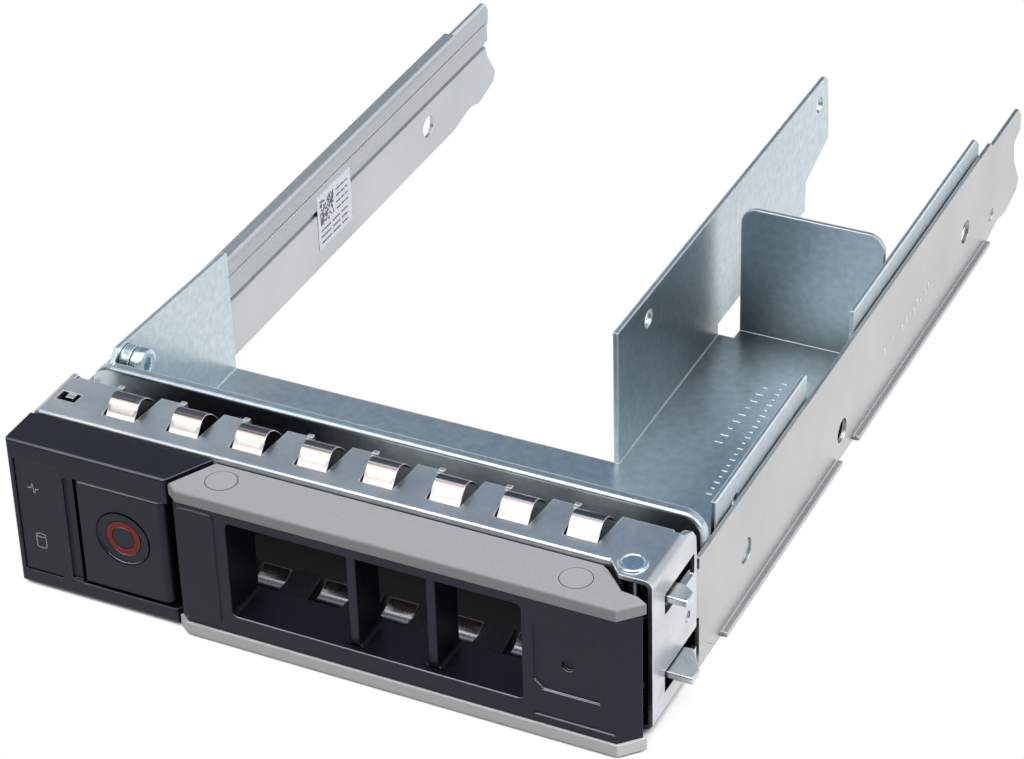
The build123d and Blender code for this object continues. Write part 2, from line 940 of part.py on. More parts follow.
def handle_body():
    """Black swing handle with three windows, a framed panel and the pivot bearing."""
    low = handle_base + handle_base_height
    high = handle_cap_top - handle_cap_height
    plan = offset(handle_plan(), amount=-handle_inset, kind=Kind.INTERSECTION)
    body = plan_prism(plan, low, high)
    rib_half = grip_rib_width / 2
    body -= grip_window(-grip_left, -grip_rib_one - rib_half)
    body -= grip_window(-grip_rib_one + rib_half, -grip_rib_two - rib_half)
    body -= grip_window(-grip_rib_two + rib_half, -grip_right)
    setback = [
        (-grip_left, grip_low),
        (-grip_right, grip_low),
        (-grip_right, grip_high),
        (-grip_left, grip_high),
    ]
    body -= front_prism(
        outline(setback, grip_round),
        -handle_nose_y - over,
        -handle_front_y + handle_inset + grip_rib_setback,
    )
    front = -handle_nose_y + handle_inset
    panel = outline([
        (-panel_left + panel_chamfer, panel_low),
        (-panel_right, panel_low),
        (-panel_right, panel_high),
        (-panel_left, panel_high),
        (-panel_left, panel_low + panel_chamfer),
    ])
    body -= front_prism(panel, -handle_nose_y - over, front + panel_depth)
    body -= rod_y(
        -dimple_x,
        dimple_z,
        dimple_radius,
        -handle_nose_y - over,
        front + panel_depth + dimple_depth,
    )
    body -= block(
        -panel_left,
        -handle_right - handle_round,
        -handle_nose_y - over,
        front + panel_depth / 2,
        rim_low,
        rim_low + rim_height,
    )
    badge = outline([
        (-badge_left, low + badge_margin),
        (-badge_right, low + badge_margin),
        (-badge_right, high - badge_margin),
        (-badge_left, high - badge_margin),
    ], badge_margin)
    face = -handle_front_y + handle_inset
    body += front_prism(badge, face - badge_raise, face + badge_margin)
    body += handle_barrel()
    body += latch_tooth()
    body -= rod_z(
        -pivot_x, pivot_y, pin_radius + running_gap, barrel_low - over, barrel_high + over
    )
    return body


def hook_plate(top, reach, rear):
    """One flat hook of the lever, pivoting on the pin and reaching out of the window."""
    seat = handle_rear - handle_inset
    plan = outline([
        (-hook_web_left, seat),
        (-hook_web_left, seat + hook_sheet),
        (-hook_web_right, seat + hook_sheet * 2),
        (-pivot_x - hook_sheet, pivot_y + hook_ring_radius),
        (-hook_sheet, rear - hook_sheet / 4),
        (reach / 3, rear),
        (reach, hook_front + hook_flat),
        (reach, hook_front),
        (-hook_sheet, hook_front),
        (-hook_sheet * 1.3, pivot_y - hook_ring_radius / 2),
        (-pivot_x + hook_ring_radius / 3, pivot_y - hook_ring_radius * 0.95),
        (-pivot_x - hook_ring_radius * 0.35, pivot_y - hook_ring_radius * 0.9),
        (-cover_step_outer + hook_sheet / 6, seat),
        (-hook_web_right, seat),
    ])
    plate = plan_prism(plan, top - hook_sheet, top)
    plate -= rod_z(
        -pivot_x, pivot_y, pin_radius + running_gap, top - hook_sheet - over, top + over
    )
    return plate


def hook_lever():
    """Steel lever: two hooks joined by a web that lies against the handle."""
    seat = handle_rear - handle_inset
    lever = hook_plate(hook_upper_top, hook_upper_reach, hook_upper_rear)
    lever += hook_plate(hook_lower_top, hook_lower_reach, hook_lower_rear)
    lever += block(
        -hook_web_left,
        -hook_web_right,
        seat,
        seat + hook_sheet,
        hook_lower_top - hook_sheet,
        hook_upper_top,
    )
    return lever


def pivot_pin():
    """Headed pin through the cover that carries the handle."""
    low = cover_base - pin_head_height
    high = cover_top + pin_head_height
    pin = rod_z(-pivot_x, pivot_y, pin_radius, cover_base, cover_top)
    pin += rod_z(-pivot_x, pivot_y, pin_head_radius, cover_top, high)
    pin += rod_z(-pivot_x, pivot_y, pin_head_radius, low, cover_base)
    return pin


def handle_spring():
    """Torsion spring round the pivot pin that swings the handle open."""
    spring = coil(torsion_radius, torsion_wire, torsion_turns, torsion_high - torsion_low)
    spring = Pos(-pivot_x, pivot_y, torsion_low) * spring
    low_leg = rod_y(
        -pivot_x + torsion_radius,
        torsion_low,
        torsion_wire * 0.46,
        pivot_y - torsion_leg,
        pivot_y,
    )
    high_leg = rod_y(
        -pivot_x - torsion_radius,
        torsion_high,
        torsion_wire * 0.46,
        pivot_y,
        pivot_y + torsion_leg,
    )
    return spring + low_leg + high_leg


def rail_outline(front):
    """Side view of a rail with its shaped rear end."""
    top = rail_height - rail_tail_drop
    tail = [(tray_length - back, up * rail_height) for back, up in rail_tail_shape]
    return outline(
        [(front, 0)]
        + tail
        + [(rail_flange_rear + rail_tail_drop, top)]
        + [(rail_flange_rear, rail_height), (front, rail_height)]
    )


def rail_lips(x_outer, x_inner, side):
    """The two outward lips along the lower edge of a rail."""
    x_lip = x_outer + side * rail_lip
    front = block(
        min(x_lip, x_inner), max(x_lip, x_inner), lip_one_front, lip_one_rear, 0, rail_sheet
    )
    rear = block(
        min(x_lip, x_inner), max(x_lip, x_inner), lip_two_front, lip_two_rear, 0, rail_sheet
    )
    return front + rear


def rail_tab(x_outer, side, shift, z_from, z_to):
    """The joggled front tab of a rail that lies inside the wall of the cover."""
    x_inner = x_outer - side * rail_sheet
    tab_outer = x_outer - side * shift
    tab_inner = tab_outer - side * rail_sheet
    ramp = rail_tab_ramp * shift
    start = cover_side_depth + rail_sheet / 4
    plan = outline([
        (x_outer, start + ramp + over),
        (x_outer, start + ramp),
        (tab_outer, start),
        (tab_outer, rail_tab_front),
        (tab_inner, rail_tab_front),
        (tab_inner, start + rail_sheet / 3),
        (x_inner, start + ramp + rail_sheet / 3),
        (x_inner, start + ramp + over),
    ])
    return plan_prism(plan, z_from, z_to)


def right_rail():
    """Right rail: folded sheet with outward lips, three holes and a joggled tab."""
    rail = side_prism(rail_outline(rail_front), -rail_sheet, 0)
    rail += rail_lips(0, -rail_sheet, 1)
    rail += rail_tab(0, 1, cover_sheet, rail_tab_low, rail_tab_high)
    middle = rail_hole_front + rail_hole_middle
    rear = rail_hole_front + rail_hole_pitch
    rail -= rod_x(rail_hole_front, rail_hole_z, rail_hole_radius, -over * 2, over)
    rail -= rod_x(middle, rail_hole_middle_z, rail_hole_radius, -over * 2, over)
    rail -= rod_x(rear, rail_hole_z, rail_hole_radius, -over * 2, over)
    return rail - rod_x(
        rail_dimple_y, rail_dimple_z, rail_dimple_radius, -rail_dimple_depth, over
    )


def left_rail():
    """Left rail: stepped outward above, where it holds the light pipes, with a top flange."""
    x_outer = -tray_width
    x_inner = x_outer + rail_sheet
    x_band = x_inner - rail_step
    step_end = rail_step_z + rail_step
    profile = outline([
        (x_outer, 0),
        (x_inner, 0),
        (x_inner, rail_step_z),
        (x_band, step_end - rail_sheet / 2),
        (x_band, rail_height - rail_sheet),
        (x_inner + rail_flange - rail_sheet, rail_height - rail_sheet),
        (x_inner + rail_flange - rail_sheet, rail_height),
        (x_band - rail_sheet, rail_height),
        (x_band - rail_sheet, step_end),
        (x_outer, rail_step_z + rail_sheet / 2),
    ])
    side = side_prism(
        rail_outline(rail_left_front), x_band - rail_sheet - over, x_inner + over * 2
    )
    rail = front_prism(profile, rail_left_front, tray_length) & side
    rail -= block(
        x_inner,
        x_inner + over * 2,
        rail_left_front - over,
        rail_flange_front,
        rail_height - rail_sheet - over,
        rail_height + over,
    )
    shift = tray_width - cover_width + cover_sheet
    rail += rail_lips(x_outer, x_inner, -1)
    rail += rail_tab(x_outer, -1, shift, rail_left_tab_low, rail_left_tab_high)
    for y in (rail_left_hole_front, rail_left_hole_front + rail_hole_pitch):
        rail -= rod_x(y, rail_left_hole_z, rail_hole_radius, x_outer - over, x_inner + over)
    return rail


def light_pipe(low):
    """A clear strip in the step of the left rail that bends inward to the status strip."""
    pipe_outer = -tray_width + rail_sheet - rail_step
    front = -housing_front + strip_recess + strip_thickness
    plan = outline([
        (pipe_outer, pipe_rear),
        (pipe_outer, pipe_jog_rear),
        (-pipe_front_x, pipe_jog_front),
        (-pipe_front_x, front),
        (-pipe_front_x + rail_step, front),
        (-pipe_front_x + rail_step, pipe_jog_front + pipe_turn),
        (pipe_outer + rail_step, pipe_jog_rear + pipe_turn),
        (pipe_outer + rail_step, pipe_rear),
    ])
    return plan_prism(plan, low, low + pipe_height)


def light_pipe_upper():
    """Light pipe of the upper status symbol."""
    return light_pipe(pipe_upper_low)


def light_pipe_lower():
    """Light pipe of the lower status symbol."""
    return light_pipe(pipe_lower_low)


def bracket_front_wall():
    """Front wall of the adapter, its rounded outline drawn back into a rim."""
    upper = [(-bracket_wall_right, bracket_wall_top), (-bracket_wall_left, bracket_wall_top)]
    lower = [(-bracket_wall_left, bracket_base), (-bracket_wall_right, bracket_base)]
    face = outline(upper + lower, bracket_wall_round, upper)
    front = bracket_front - bracket_sheet
    wall = front_prism(face, front, front + bracket_rim)
    edges = wall.faces().filter_by(Plane.XZ).sort_by(Axis.Y)[0].edges()
    wall = fillet(edges.filter_by_position(
        Axis.Z, bracket_wall_top - bracket_wall_round, bracket_wall_top + over
    ), bracket_rim_round)
    hollow = offset(face, amount=-bracket_sheet, kind=Kind.INTERSECTION)
    return wall - front_prism(hollow, bracket_front, bracket_front + bracket_rim + over)


def bracket_plate():
    """Base plate: a strip behind the front wall and a deeper part on the right."""
    wall_left = -inner_wall_x - bracket_sheet
    face = outline([
        (-bracket_left, bracket_front - bracket_sheet),
        (-bracket_right, bracket_front - bracket_sheet),
        (-bracket_right, bracket_rear),
        (wall_left, bracket_rear),
        (wall_left, bracket_strip_rear),
        (-bracket_left, bracket_strip_rear),
    ])
    plate = plan_prism(face, bracket_base, bracket_base + bracket_sheet)
    plate -= block(
        wall_left - over,
        -cross_wall_left,
        inner_wall_low_front,
        bracket_rear + over,
        bracket_base - over,
        bracket_base + bracket_sheet + over,
    )
    return plate


def bracket_ear():
    """The upright ear on the left with the screw hole."""
    face = outline([
        (bracket_front - bracket_sheet, bracket_base),
        (bracket_strip_rear, bracket_base),
        (bracket_strip_rear, ear_rear_top),
        (bracket_front + ear_nose_run, ear_front_top),
        (bracket_front - bracket_sheet, ear_nose),
    ])
    ear = side_prism(face, -bracket_left, -bracket_left + bracket_sheet)
    return ear - rod_x(
        screw_y, screw_z, screw_radius, -bracket_left - over, -bracket_left + bracket_sheet + over
    )


def bracket_inner_wall():
    """The long inner wall that carries the smaller drive on two side holes."""
    top_rear = (inner_wall_rear, inner_wall_top)
    top_front = (bracket_strip_rear, inner_wall_top)
    face = outline([
        (bracket_strip_rear, bracket_base),
        top_front,
        top_rear,
        (inner_wall_step_rear, inner_wall_step_z),
        (inner_wall_step_y, inner_wall_step_low),
        (inner_wall_step_y, inner_wall_low),
        (inner_wall_low_front, inner_wall_low),
        (inner_wall_low_front, bracket_base),
    ], inner_wall_round, [top_rear])
    wall = side_prism(face, -inner_wall_x - bracket_sheet, -inner_wall_x)
    for y in (drive_hole_front, drive_hole_front + drive_hole_pitch):
        wall -= rod_x(
            y, drive_hole_z, drive_hole_radius, -inner_wall_x - over * 2, -inner_wall_x + over
        )
    return wall


def bracket_cross_wall():
    """The rear cross wall with rounded upper corners."""
    upper = [(-cross_wall_right, cross_wall_top), (-cross_wall_left, cross_wall_top)]
    lower = [(-cross_wall_left, bracket_base), (-cross_wall_right, bracket_base)]
    face = outline(upper + lower, cross_wall_round, upper)
    return front_prism(face, bracket_rear - bracket_sheet, bracket_rear)


def bracket_right_flange():
    """The right flange: a low strip, two tall tabs and a spigot in the rail's front hole."""
    face = outline([
        (flange_low_front, bracket_base),
        (bracket_rear, bracket_base),
        (bracket_rear, flange_rear_low),
        (flange_rear_to, flange_rear_low),
        (flange_rear_to, flange_rear_top - flange_round),
        (flange_rear_to - flange_round, flange_rear_top),
        (flange_rear_from, flange_rear_top),
        (flange_rear_from, flange_low_top),
        (flange_front_to, flange_low_top),
        (flange_front_to, flange_front_top),
        (flange_front_from, flange_front_top),
        (flange_front_from, flange_low_top),
        (flange_low_front, flange_low_top),
    ])
    x_outer = -bracket_right
    flange = side_prism(face, x_outer - bracket_sheet, x_outer)
    flange += rod_x(rail_hole_front, rail_hole_z, boss_radius, x_outer, -rail_sheet)
    flange += rod_x(
        rail_hole_front,
        rail_hole_z,
        rail_hole_radius - spigot_clearance,
        x_outer,
        -spigot_recess,
    )
    flange -= rod_x(
        flange_hole_y,
        flange_front_top - flange_hole_drop,
        flange_hole_radius,
        x_outer - bracket_sheet - over,
        over,
    )
    return flange


def adapter_bracket():
    """Folded adapter that holds the smaller drive in the tray."""
    bracket = bracket_plate()
    bracket += bracket_front_wall()
    bracket += bracket_ear()
    bracket += bracket_inner_wall()
    bracket += bracket_cross_wall()
    bracket += bracket_right_flange()
    return bracket


def adapter_screw():
    """Shoulder screw through the collar and the ear."""
    ear_face = -bracket_left + bracket_sheet
    head_start = ear_face + collar_width
    head_end = head_start + screw_head_width
    screw = rod_x(screw_y, screw_z, screw_radius, -bracket_left - screw_end, head_end)
    screw += rod_x(screw_y, screw_z, screw_head_radius, head_start, head_end)
    screw -= rod_x(
        screw_y, screw_z, screw_socket_radius, head_end - screw_socket_depth, head_end + over
    )
    return screw


def screw_collar():
    """Collar between the ear and the head of the screw."""
    ear_face = -bracket_left + bracket_sheet
    collar = rod_x(screw_y, screw_z, collar_radius, ear_face, ear_face + collar_width)
    return collar - rod_x(
        screw_y, screw_z, screw_radius, ear_face - over, ear_face + collar_width + over
    )


def rail_label():
    """Paper label on the left rail and the lower light pipe, which are flush there."""
    rail_face = -tray_width + rail_sheet
    return block(
        rail_face, rail_face + label_thickness, label_front, label_rear, label_low, label_high
    )


def main_origin():
    """The move that puts the middle of the base at the origin."""
    left = -tray_width - rail_lip
    right = hook_lower_reach
    front = -handle_nose_y
    return Pos(-(left + right) / 2, -(front + tray_length) / 2, 0)


makers = {
    "front_cover": front_cover,
    "emi_fingers_top": emi_fingers_top,
    "emi_fingers_bottom": emi_fingers_bottom,
    "bezel_housing": bezel_housing,
    "status_strip": status_strip,
    "release_button": release_button,
    "button_ring": button_ring,
    "button_spring": button_spring,
    "release_catch": release_catch,
    "handle_body": handle_body,
    "handle_top_cap": handle_top_cap,
    "handle_bottom_cap": handle_bottom_cap,
    "handle_plugs": handle_plugs,
    "hook_lever": hook_lever,
    "pivot_pin": pivot_pin,
    "handle_spring": handle_spring,
    "right_rail": right_rail,
    "left_rail": left_rail,
    "light_pipe_upper": light_pipe_upper,
    "light_pipe_lower": light_pipe_lower,
    "adapter_bracket": adapter_bracket,
    "adapter_screw": adapter_screw,
    "screw_collar": screw_collar,
    "rail_label": rail_label,
}

os.makedirs("parts", exist_ok=True)
for name, maker in makers.items():
    solid = main_origin() * maker()
    export_step(solid, "parts/" + name + ".step")
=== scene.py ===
import json
import math

import bmesh
import bpy
import numpy as np
from mathutils import Matrix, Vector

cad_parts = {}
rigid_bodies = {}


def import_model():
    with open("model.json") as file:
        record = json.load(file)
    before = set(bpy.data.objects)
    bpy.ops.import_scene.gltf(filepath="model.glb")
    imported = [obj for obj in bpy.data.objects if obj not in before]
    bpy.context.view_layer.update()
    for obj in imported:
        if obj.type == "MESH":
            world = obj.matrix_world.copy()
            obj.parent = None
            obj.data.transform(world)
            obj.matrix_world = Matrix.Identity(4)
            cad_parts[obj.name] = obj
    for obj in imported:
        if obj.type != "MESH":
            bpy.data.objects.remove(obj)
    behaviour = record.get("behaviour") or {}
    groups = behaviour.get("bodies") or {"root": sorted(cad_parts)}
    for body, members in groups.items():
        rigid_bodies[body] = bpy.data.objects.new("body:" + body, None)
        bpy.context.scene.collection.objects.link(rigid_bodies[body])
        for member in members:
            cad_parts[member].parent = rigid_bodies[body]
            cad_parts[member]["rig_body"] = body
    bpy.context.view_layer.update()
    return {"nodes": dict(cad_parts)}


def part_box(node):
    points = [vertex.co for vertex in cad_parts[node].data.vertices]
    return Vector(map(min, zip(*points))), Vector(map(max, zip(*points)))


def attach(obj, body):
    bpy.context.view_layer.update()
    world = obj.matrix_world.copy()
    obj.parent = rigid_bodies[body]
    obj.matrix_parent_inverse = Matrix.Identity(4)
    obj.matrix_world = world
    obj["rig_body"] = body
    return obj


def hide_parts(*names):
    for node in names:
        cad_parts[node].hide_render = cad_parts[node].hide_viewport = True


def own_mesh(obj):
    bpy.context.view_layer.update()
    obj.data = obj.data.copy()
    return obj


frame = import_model()
mm = 0.001

# The right rail
# A strip of zinc plated steel, 0.8 mm thick, blanked and folded to a wall with two outward lips.
# A press leaves a few shallow marks on its outer face, painted lighter than the rail as a painted
# highlight, and its cut edges stay bright.


def add_node(tree, kind, **settings):
    """One shader node with its settings."""
    node = tree.nodes.new(kind)
    for name, value in settings.items():
        setattr(node, name, value)
    return node


def new_group(name, inputs, outputs):
    """An empty shader group with named sockets, and its input and output nodes."""
    tree = bpy.data.node_groups.new(name, "ShaderNodeTree")
    for label, kind in inputs:
        tree.interface.new_socket(label, in_out="INPUT", socket_type="NodeSocket" + kind)
    for label, kind in outputs:
        tree.interface.new_socket(label, in_out="OUTPUT", socket_type="NodeSocket" + kind)
    return tree, add_node(tree, "NodeGroupInput"), add_node(tree, "NodeGroupOutput")


def noise_of(tree, coordinates, scale, detail):
    """A noise texture on the given coordinates. Scale is a socket or a number."""
    noise = add_node(tree, "ShaderNodeTexNoise")
    noise.inputs["Detail"].default_value = detail
    tree.links.new(coordinates, noise.inputs["Vector"])
    if isinstance(scale, float):
        noise.inputs["Scale"].default_value = scale
    else:
        tree.links.new(scale, noise.inputs["Scale"])
    return noise.outputs["Fac"]


def mixed_colour(tree, factor, first, second):
    """A mix of two colour sockets by a factor socket."""
    mix = add_node(tree, "ShaderNodeMix", data_type="RGBA")
    tree.links.new(factor, mix.inputs["Factor"])
    tree.links.new(first, mix.inputs["A"])
    tree.links.new(second, mix.inputs["B"])
    return mix.outputs["Result"]


def ranged(tree, value, low, high, to_low, to_high):
    """A value between low and high, carried to the range of two sockets or numbers."""
    node = add_node(tree, "ShaderNodeMapRange")
    node.inputs["From Min"].default_value = low
    node.inputs["From Max"].default_value = high
    for label, end in (("To Min", to_low), ("To Max", to_high)):
        if isinstance(end, float):
            node.inputs[label].default_value = end
        else:
            tree.links.new(end, node.inputs[label])
    tree.links.new(value, node.inputs["Value"])
    return node.outputs["Result"]


def combined(tree, operation, first, second):
    """A math node on two values, each a socket or a number."""
    node = add_node(tree, "ShaderNodeMath", operation=operation)
    for place, value in enumerate((first, second)):
        if isinstance(value, float):
            node.inputs[place].default_value = value
        else:
            tree.links.new(value, node.inputs[place])
    return node.outputs["Value"]


def split(tree, vector):
    """The X, Y and Z sockets of a vector socket."""
    node = add_node(tree, "ShaderNodeSeparateXYZ")
    tree.links.new(vector, node.inputs["Vector"])
    return node.outputs


def grouped(tree, name, **sockets):
    """The outputs of a shader group whose inputs take the given sockets."""
    node = add_node(tree, "ShaderNodeGroup", node_tree=bpy.data.node_groups[name])
    for label, socket in sockets.items():
        tree.links.new(socket, node.inputs[label.replace("_", " ")])
    return node.outputs


def stretched(tree, stretch):
    """Object coordinates, each multiplied by a part of the stretch socket."""
    node = add_node(tree, "ShaderNodeVectorMath", operation="MULTIPLY")
    tree.links.new(add_node(tree, "ShaderNodeTexCoord").outputs["Object"], node.inputs[0])
    tree.links.new(stretch, node.inputs[1])
    return node.outputs["Vector"]


def edge_mask_group():
    """Where an edge is, from how far the normal of a rounded edge turns from the face's own.
    Upper keeps only the edges that look up. Tilt finds the rounded strip itself by its normal,
    where the y of the normal is below Facing."""
    tree, given, result = new_group(
        "edge_mask",
        [("Radius", "Float"), ("Facing", "Float")],
        [("Mask", "Float"), ("Upper", "Float"), ("Tilt", "Float")],
    )
    same_way = 0.995
    turned_away = 0.85
    rounded = add_node(tree, "ShaderNodeBevel", samples=4)
    tree.links.new(given.outputs["Radius"], rounded.inputs["Radius"])
    rounded = rounded.outputs["Normal"]
    own = add_node(tree, "ShaderNodeNewGeometry").outputs["Normal"]
    dot = add_node(tree, "ShaderNodeVectorMath", operation="DOT_PRODUCT")
    tree.links.new(rounded, dot.inputs[0])
    tree.links.new(own, dot.inputs[1])
    mask = ranged(tree, dot.outputs["Value"], same_way, turned_away, 0.0, 1.0)
    looks_up = ranged(tree, split(tree, rounded)["Z"], 0.15, 0.6, 0.0, 1.0)
    leaning = split(tree, own)
    past_front = ranged(tree, leaning["Z"], 0.45, 0.6, 0.0, 1.0)
    before_top = ranged(tree, leaning["Z"], 0.97, 0.9, 0.0, 1.0)
    tilt = combined(tree, "MULTIPLY", past_front, before_top)
    faced = combined(tree, "LESS_THAN", leaning["Y"], given.outputs["Facing"])
    tree.links.new(mask, result.inputs["Mask"])
    tree.links.new(combined(tree, "MULTIPLY", mask, looks_up), result.inputs["Upper"])
    tree.links.new(combined(tree, "MULTIPLY", tilt, faced), result.inputs["Tilt"])


def hollow_shade_mask_group():
    """Painted shade for hollows, to multiply colours by: near 0 deep in a hollow, 1 where the room
    can be seen.
    """
    tree, given, result = new_group("hollow_mask", [("Reach", "Float")], [("Open", "Float")])
    dark_share = 0.2
    light_share = 0.5
    around = add_node(tree, "ShaderNodeAmbientOcclusion", samples=8)
    tree.links.new(given.outputs["Reach"], around.inputs["Distance"])
    openness = ranged(tree, around.outputs["AO"], dark_share, light_share, 0.03, 1.0)
    tree.links.new(openness, result.inputs["Open"])


def sheet_skin_group():
    """Plated sheet: cloudy colour, fine drawn grain, painted shade in hollows and on low level
    faces, and duller bright cut edges.
    """
    tree, given, result = new_group(
        "sheet_skin",
        [
            ("Bright", "Color"),
            ("Dull", "Color"),
            ("Edge", "Color"),
            ("Cloud Scale", "Float"),
            ("Grain Scale", "Float"),
            ("Grain Stretch", "Vector"),
            ("Smoothest", "Float"),
            ("Roughest", "Float"),
            ("Edge Radius", "Float"),
            ("Edge Metallic", "Float"),
            ("Hollow Reach", "Float"),
            ("Lit Side", "Float"),
            ("Shade Below", "Float"),
        ],
        [("Color", "Color"), ("Roughness", "Float"), ("Height", "Float"), ("Metallic", "Float")],
    )
    grain_share = 0.35
    matt_metallic = 0.1
    shade_share = 0.25
    place = add_node(tree, "ShaderNodeTexCoord").outputs["Object"]
    drawn = stretched(tree, given.outputs["Grain Stretch"])
    cloud = noise_of(tree, place, given.outputs["Cloud Scale"], 5.0)
    grain = noise_of(tree, drawn, given.outputs["Grain Scale"], 3.0)
    blend = combined(tree, "ADD", combined(tree, "MULTIPLY", grain, grain_share), cloud)
    shade = ranged(tree, blend, 0.5, 0.85, 0.0, 1.0)
    colour = mixed_colour(tree, shade, given.outputs["Dull"], given.outputs["Bright"])
    edge = grouped(tree, "edge_mask", Radius=given.outputs["Edge Radius"])["Mask"]
    colour = mixed_colour(tree, edge, colour, given.outputs["Edge"])
    # Painted shade: the colour is darkened in hollows, but not beyond the lit side, and on level
    # faces below the shade height.
    openness = grouped(tree, "hollow_mask", Reach=given.outputs["Hollow Reach"])["Open"]
    place = split(tree, place)
    lit = combined(tree, "GREATER_THAN", place["X"], given.outputs["Lit Side"])
    own = add_node(tree, "ShaderNodeNewGeometry").outputs["Normal"]
    level = combined(tree, "GREATER_THAN", split(tree, own)["Z"], 0.5)
    low = combined(tree, "LESS_THAN", place["Z"], given.outputs["Shade Below"])
    in_shade = combined(tree, "MULTIPLY", level, low)
    light = combined(
        tree,
        "MULTIPLY",
        combined(tree, "MAXIMUM", openness, lit),
        ranged(tree, in_shade, 0.0, 1.0, 1.0, shade_share),
    )
    shaded = add_node(tree, "ShaderNodeVectorMath", operation="SCALE")
    tree.links.new(colour, shaded.inputs[0])
    tree.links.new(light, shaded.inputs["Scale"])
    roughness = ranged(
        tree, grain, 0.3, 0.7, given.outputs["Smoothest"], given.outputs["Roughest"]
    )
    metallic = ranged(tree, edge, 0.0, 1.0, 1.0, given.outputs["Edge Metallic"])
    tree.links.new(shaded.outputs["Vector"], result.inputs["Color"])
    tree.links.new(roughness, result.inputs["Roughness"])
    tree.links.new(grain, result.inputs["Height"])
    tree.links.new(ranged(tree, lit, 0.0, 1.0, metallic, matt_metallic), result.inputs["Metallic"])


def material_with(name, group_name, values, relief, **plain):
    """A material whose colour, roughness and relief come from a group with its own values."""
    material = bpy.data.materials.new(name)
    material.use_nodes = True
    tree = material.node_tree
    shader = tree.nodes["Principled BSDF"]
    for label, value in plain.items():
        shader.inputs[label.replace("_", " ")].default_value = value
    skin = add_node(tree, "ShaderNodeGroup", node_tree=bpy.data.node_groups[group_name])
    for label, value in values.items():
        skin.inputs[label].default_value = value
    bump = add_node(tree, "ShaderNodeBump")
    bump.inputs["Distance"].default_value = relief
    tree.links.new(skin.outputs["Height"], bump.inputs["Height"])
    tree.links.new(bump.outputs["Normal"], shader.inputs["Normal"])
    tree.links.new(skin.outputs["Color"], shader.inputs["Base Color"])
    tree.links.new(skin.outputs["Roughness"], shader.inputs["Roughness"])
    for label in ("Metallic", "Specular IOR Level"):
        if label in skin.outputs:
            tree.links.new(skin.outputs[label], shader.inputs[label])
    return material


def sheet_metal(
    name,
    bright,
    dull,
    edge,
    cloud,
    grain,
    stretch,
    smooth,
    rough,
    relief,
    hollow_shade_reach=30.0,
    lit_side=1.0,
    edge_metallic=0.5,
    edge_radius=0.35,
    shade_below=-1.0,
):
    """A plated sheet in its own colours. The reach is how near, in mm, another face must be
    for the painted hollow shade to darken it, and lit side is the x beyond which no painted shade
    falls and the coat is more matt, so that it reads lighter. Level faces lower than shade below
    get painted shade."""
    values = {
        "Bright": (*bright, 1),
        "Dull": (*dull, 1),
        "Edge": (*edge, 1),
        "Cloud Scale": cloud,
        "Grain Scale": grain,
        "Grain Stretch": stretch,
        "Smoothest": smooth,
        "Roughest": rough,
        "Edge Radius": edge_radius * mm,
        "Edge Metallic": edge_metallic,
        "Hollow Reach": hollow_shade_reach * mm,
        "Lit Side": lit_side,
        "Shade Below": shade_below,
    }
    return material_with(name, "sheet_skin", values, relief)


def rounded_copy(node, material, edge_round):
    """A merged copy of a CAD node with its sharp edges rounded, which stands for the node."""
    source = frame["nodes"][node]
    work = bmesh.new()
    work.from_mesh(source.data)
    bmesh.ops.remove_doubles(work, verts=work.verts, dist=0.002 * mm)
    bmesh.ops.dissolve_limit(
        work, angle_limit=math.radians(0.2), verts=work.verts, edges=work.edges
    )
    mesh = bpy.data.meshes.new(node + "_finished")
    work.to_mesh(mesh)
    work.free()
    mesh.polygons.foreach_set("use_smooth", np.ones(len(mesh.polygons), bool))
    mesh.set_sharp_from_angle(angle=math.radians(30))
    mesh.materials.append(material)
    piece = bpy.data.objects.new(mesh.name, mesh)
    bpy.context.scene.collection.objects.link(piece)
    bevel = piece.modifiers.new("edge_round", "BEVEL")
    bevel.width = edge_round
    bevel.segments = 2
    bevel.limit_method = "ANGLE"
    bevel.angle_limit = math.radians(35)
    bevel.use_clamp_overlap = False
    bevel.harden_normals = True
    piece.modifiers.new("even_shading", "WEIGHTED_NORMAL").keep_sharp = True
    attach(piece, source["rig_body"])
    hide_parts(node)


def surface_mesh(name, points, wrap=False):
    """Quads over grids of points, shaped patches by rows by columns by 3, columns closed or not."""
    points = np.asarray(points, float)
    if points.ndim == 3:
        points = points[None]
    patches, rows, columns, _ = points.shape
    index = np.arange(patches * rows * columns).reshape(patches, rows, columns)
    if wrap:
        index = np.concatenate([index, index[:, :, :1]], axis=2)
    quads = np.stack(
        [index[:, :-1, :-1], index[:, :-1, 1:], index[:, 1:, 1:], index[:, 1:, :-1]], axis=-1
    )
    mesh = bpy.data.meshes.new(name)
    mesh.from_pydata(points.reshape(-1, 3), [], quads.reshape(-1, 4))
    work = bmesh.new()
    work.from_mesh(mesh)
    bmesh.ops.remove_doubles(work, verts=work.verts, dist=0.0005 * mm)
    bmesh.ops.recalc_face_normals(work, faces=work.faces)
    work.to_mesh(mesh)
    work.free()
    mesh.polygons.foreach_set("use_smooth", np.ones(len(mesh.polygons), bool))
    mesh.set_sharp_from_angle(angle=math.radians(40))
    return mesh


def place_piece(mesh, material, body):
    """A new piece of the object that rides on a body."""
    mesh.materials.append(material)
    piece = bpy.data.objects.new(mesh.name, mesh)
    bpy.context.scene.collection.objects.link(piece)
    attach(piece, body)
    return piece


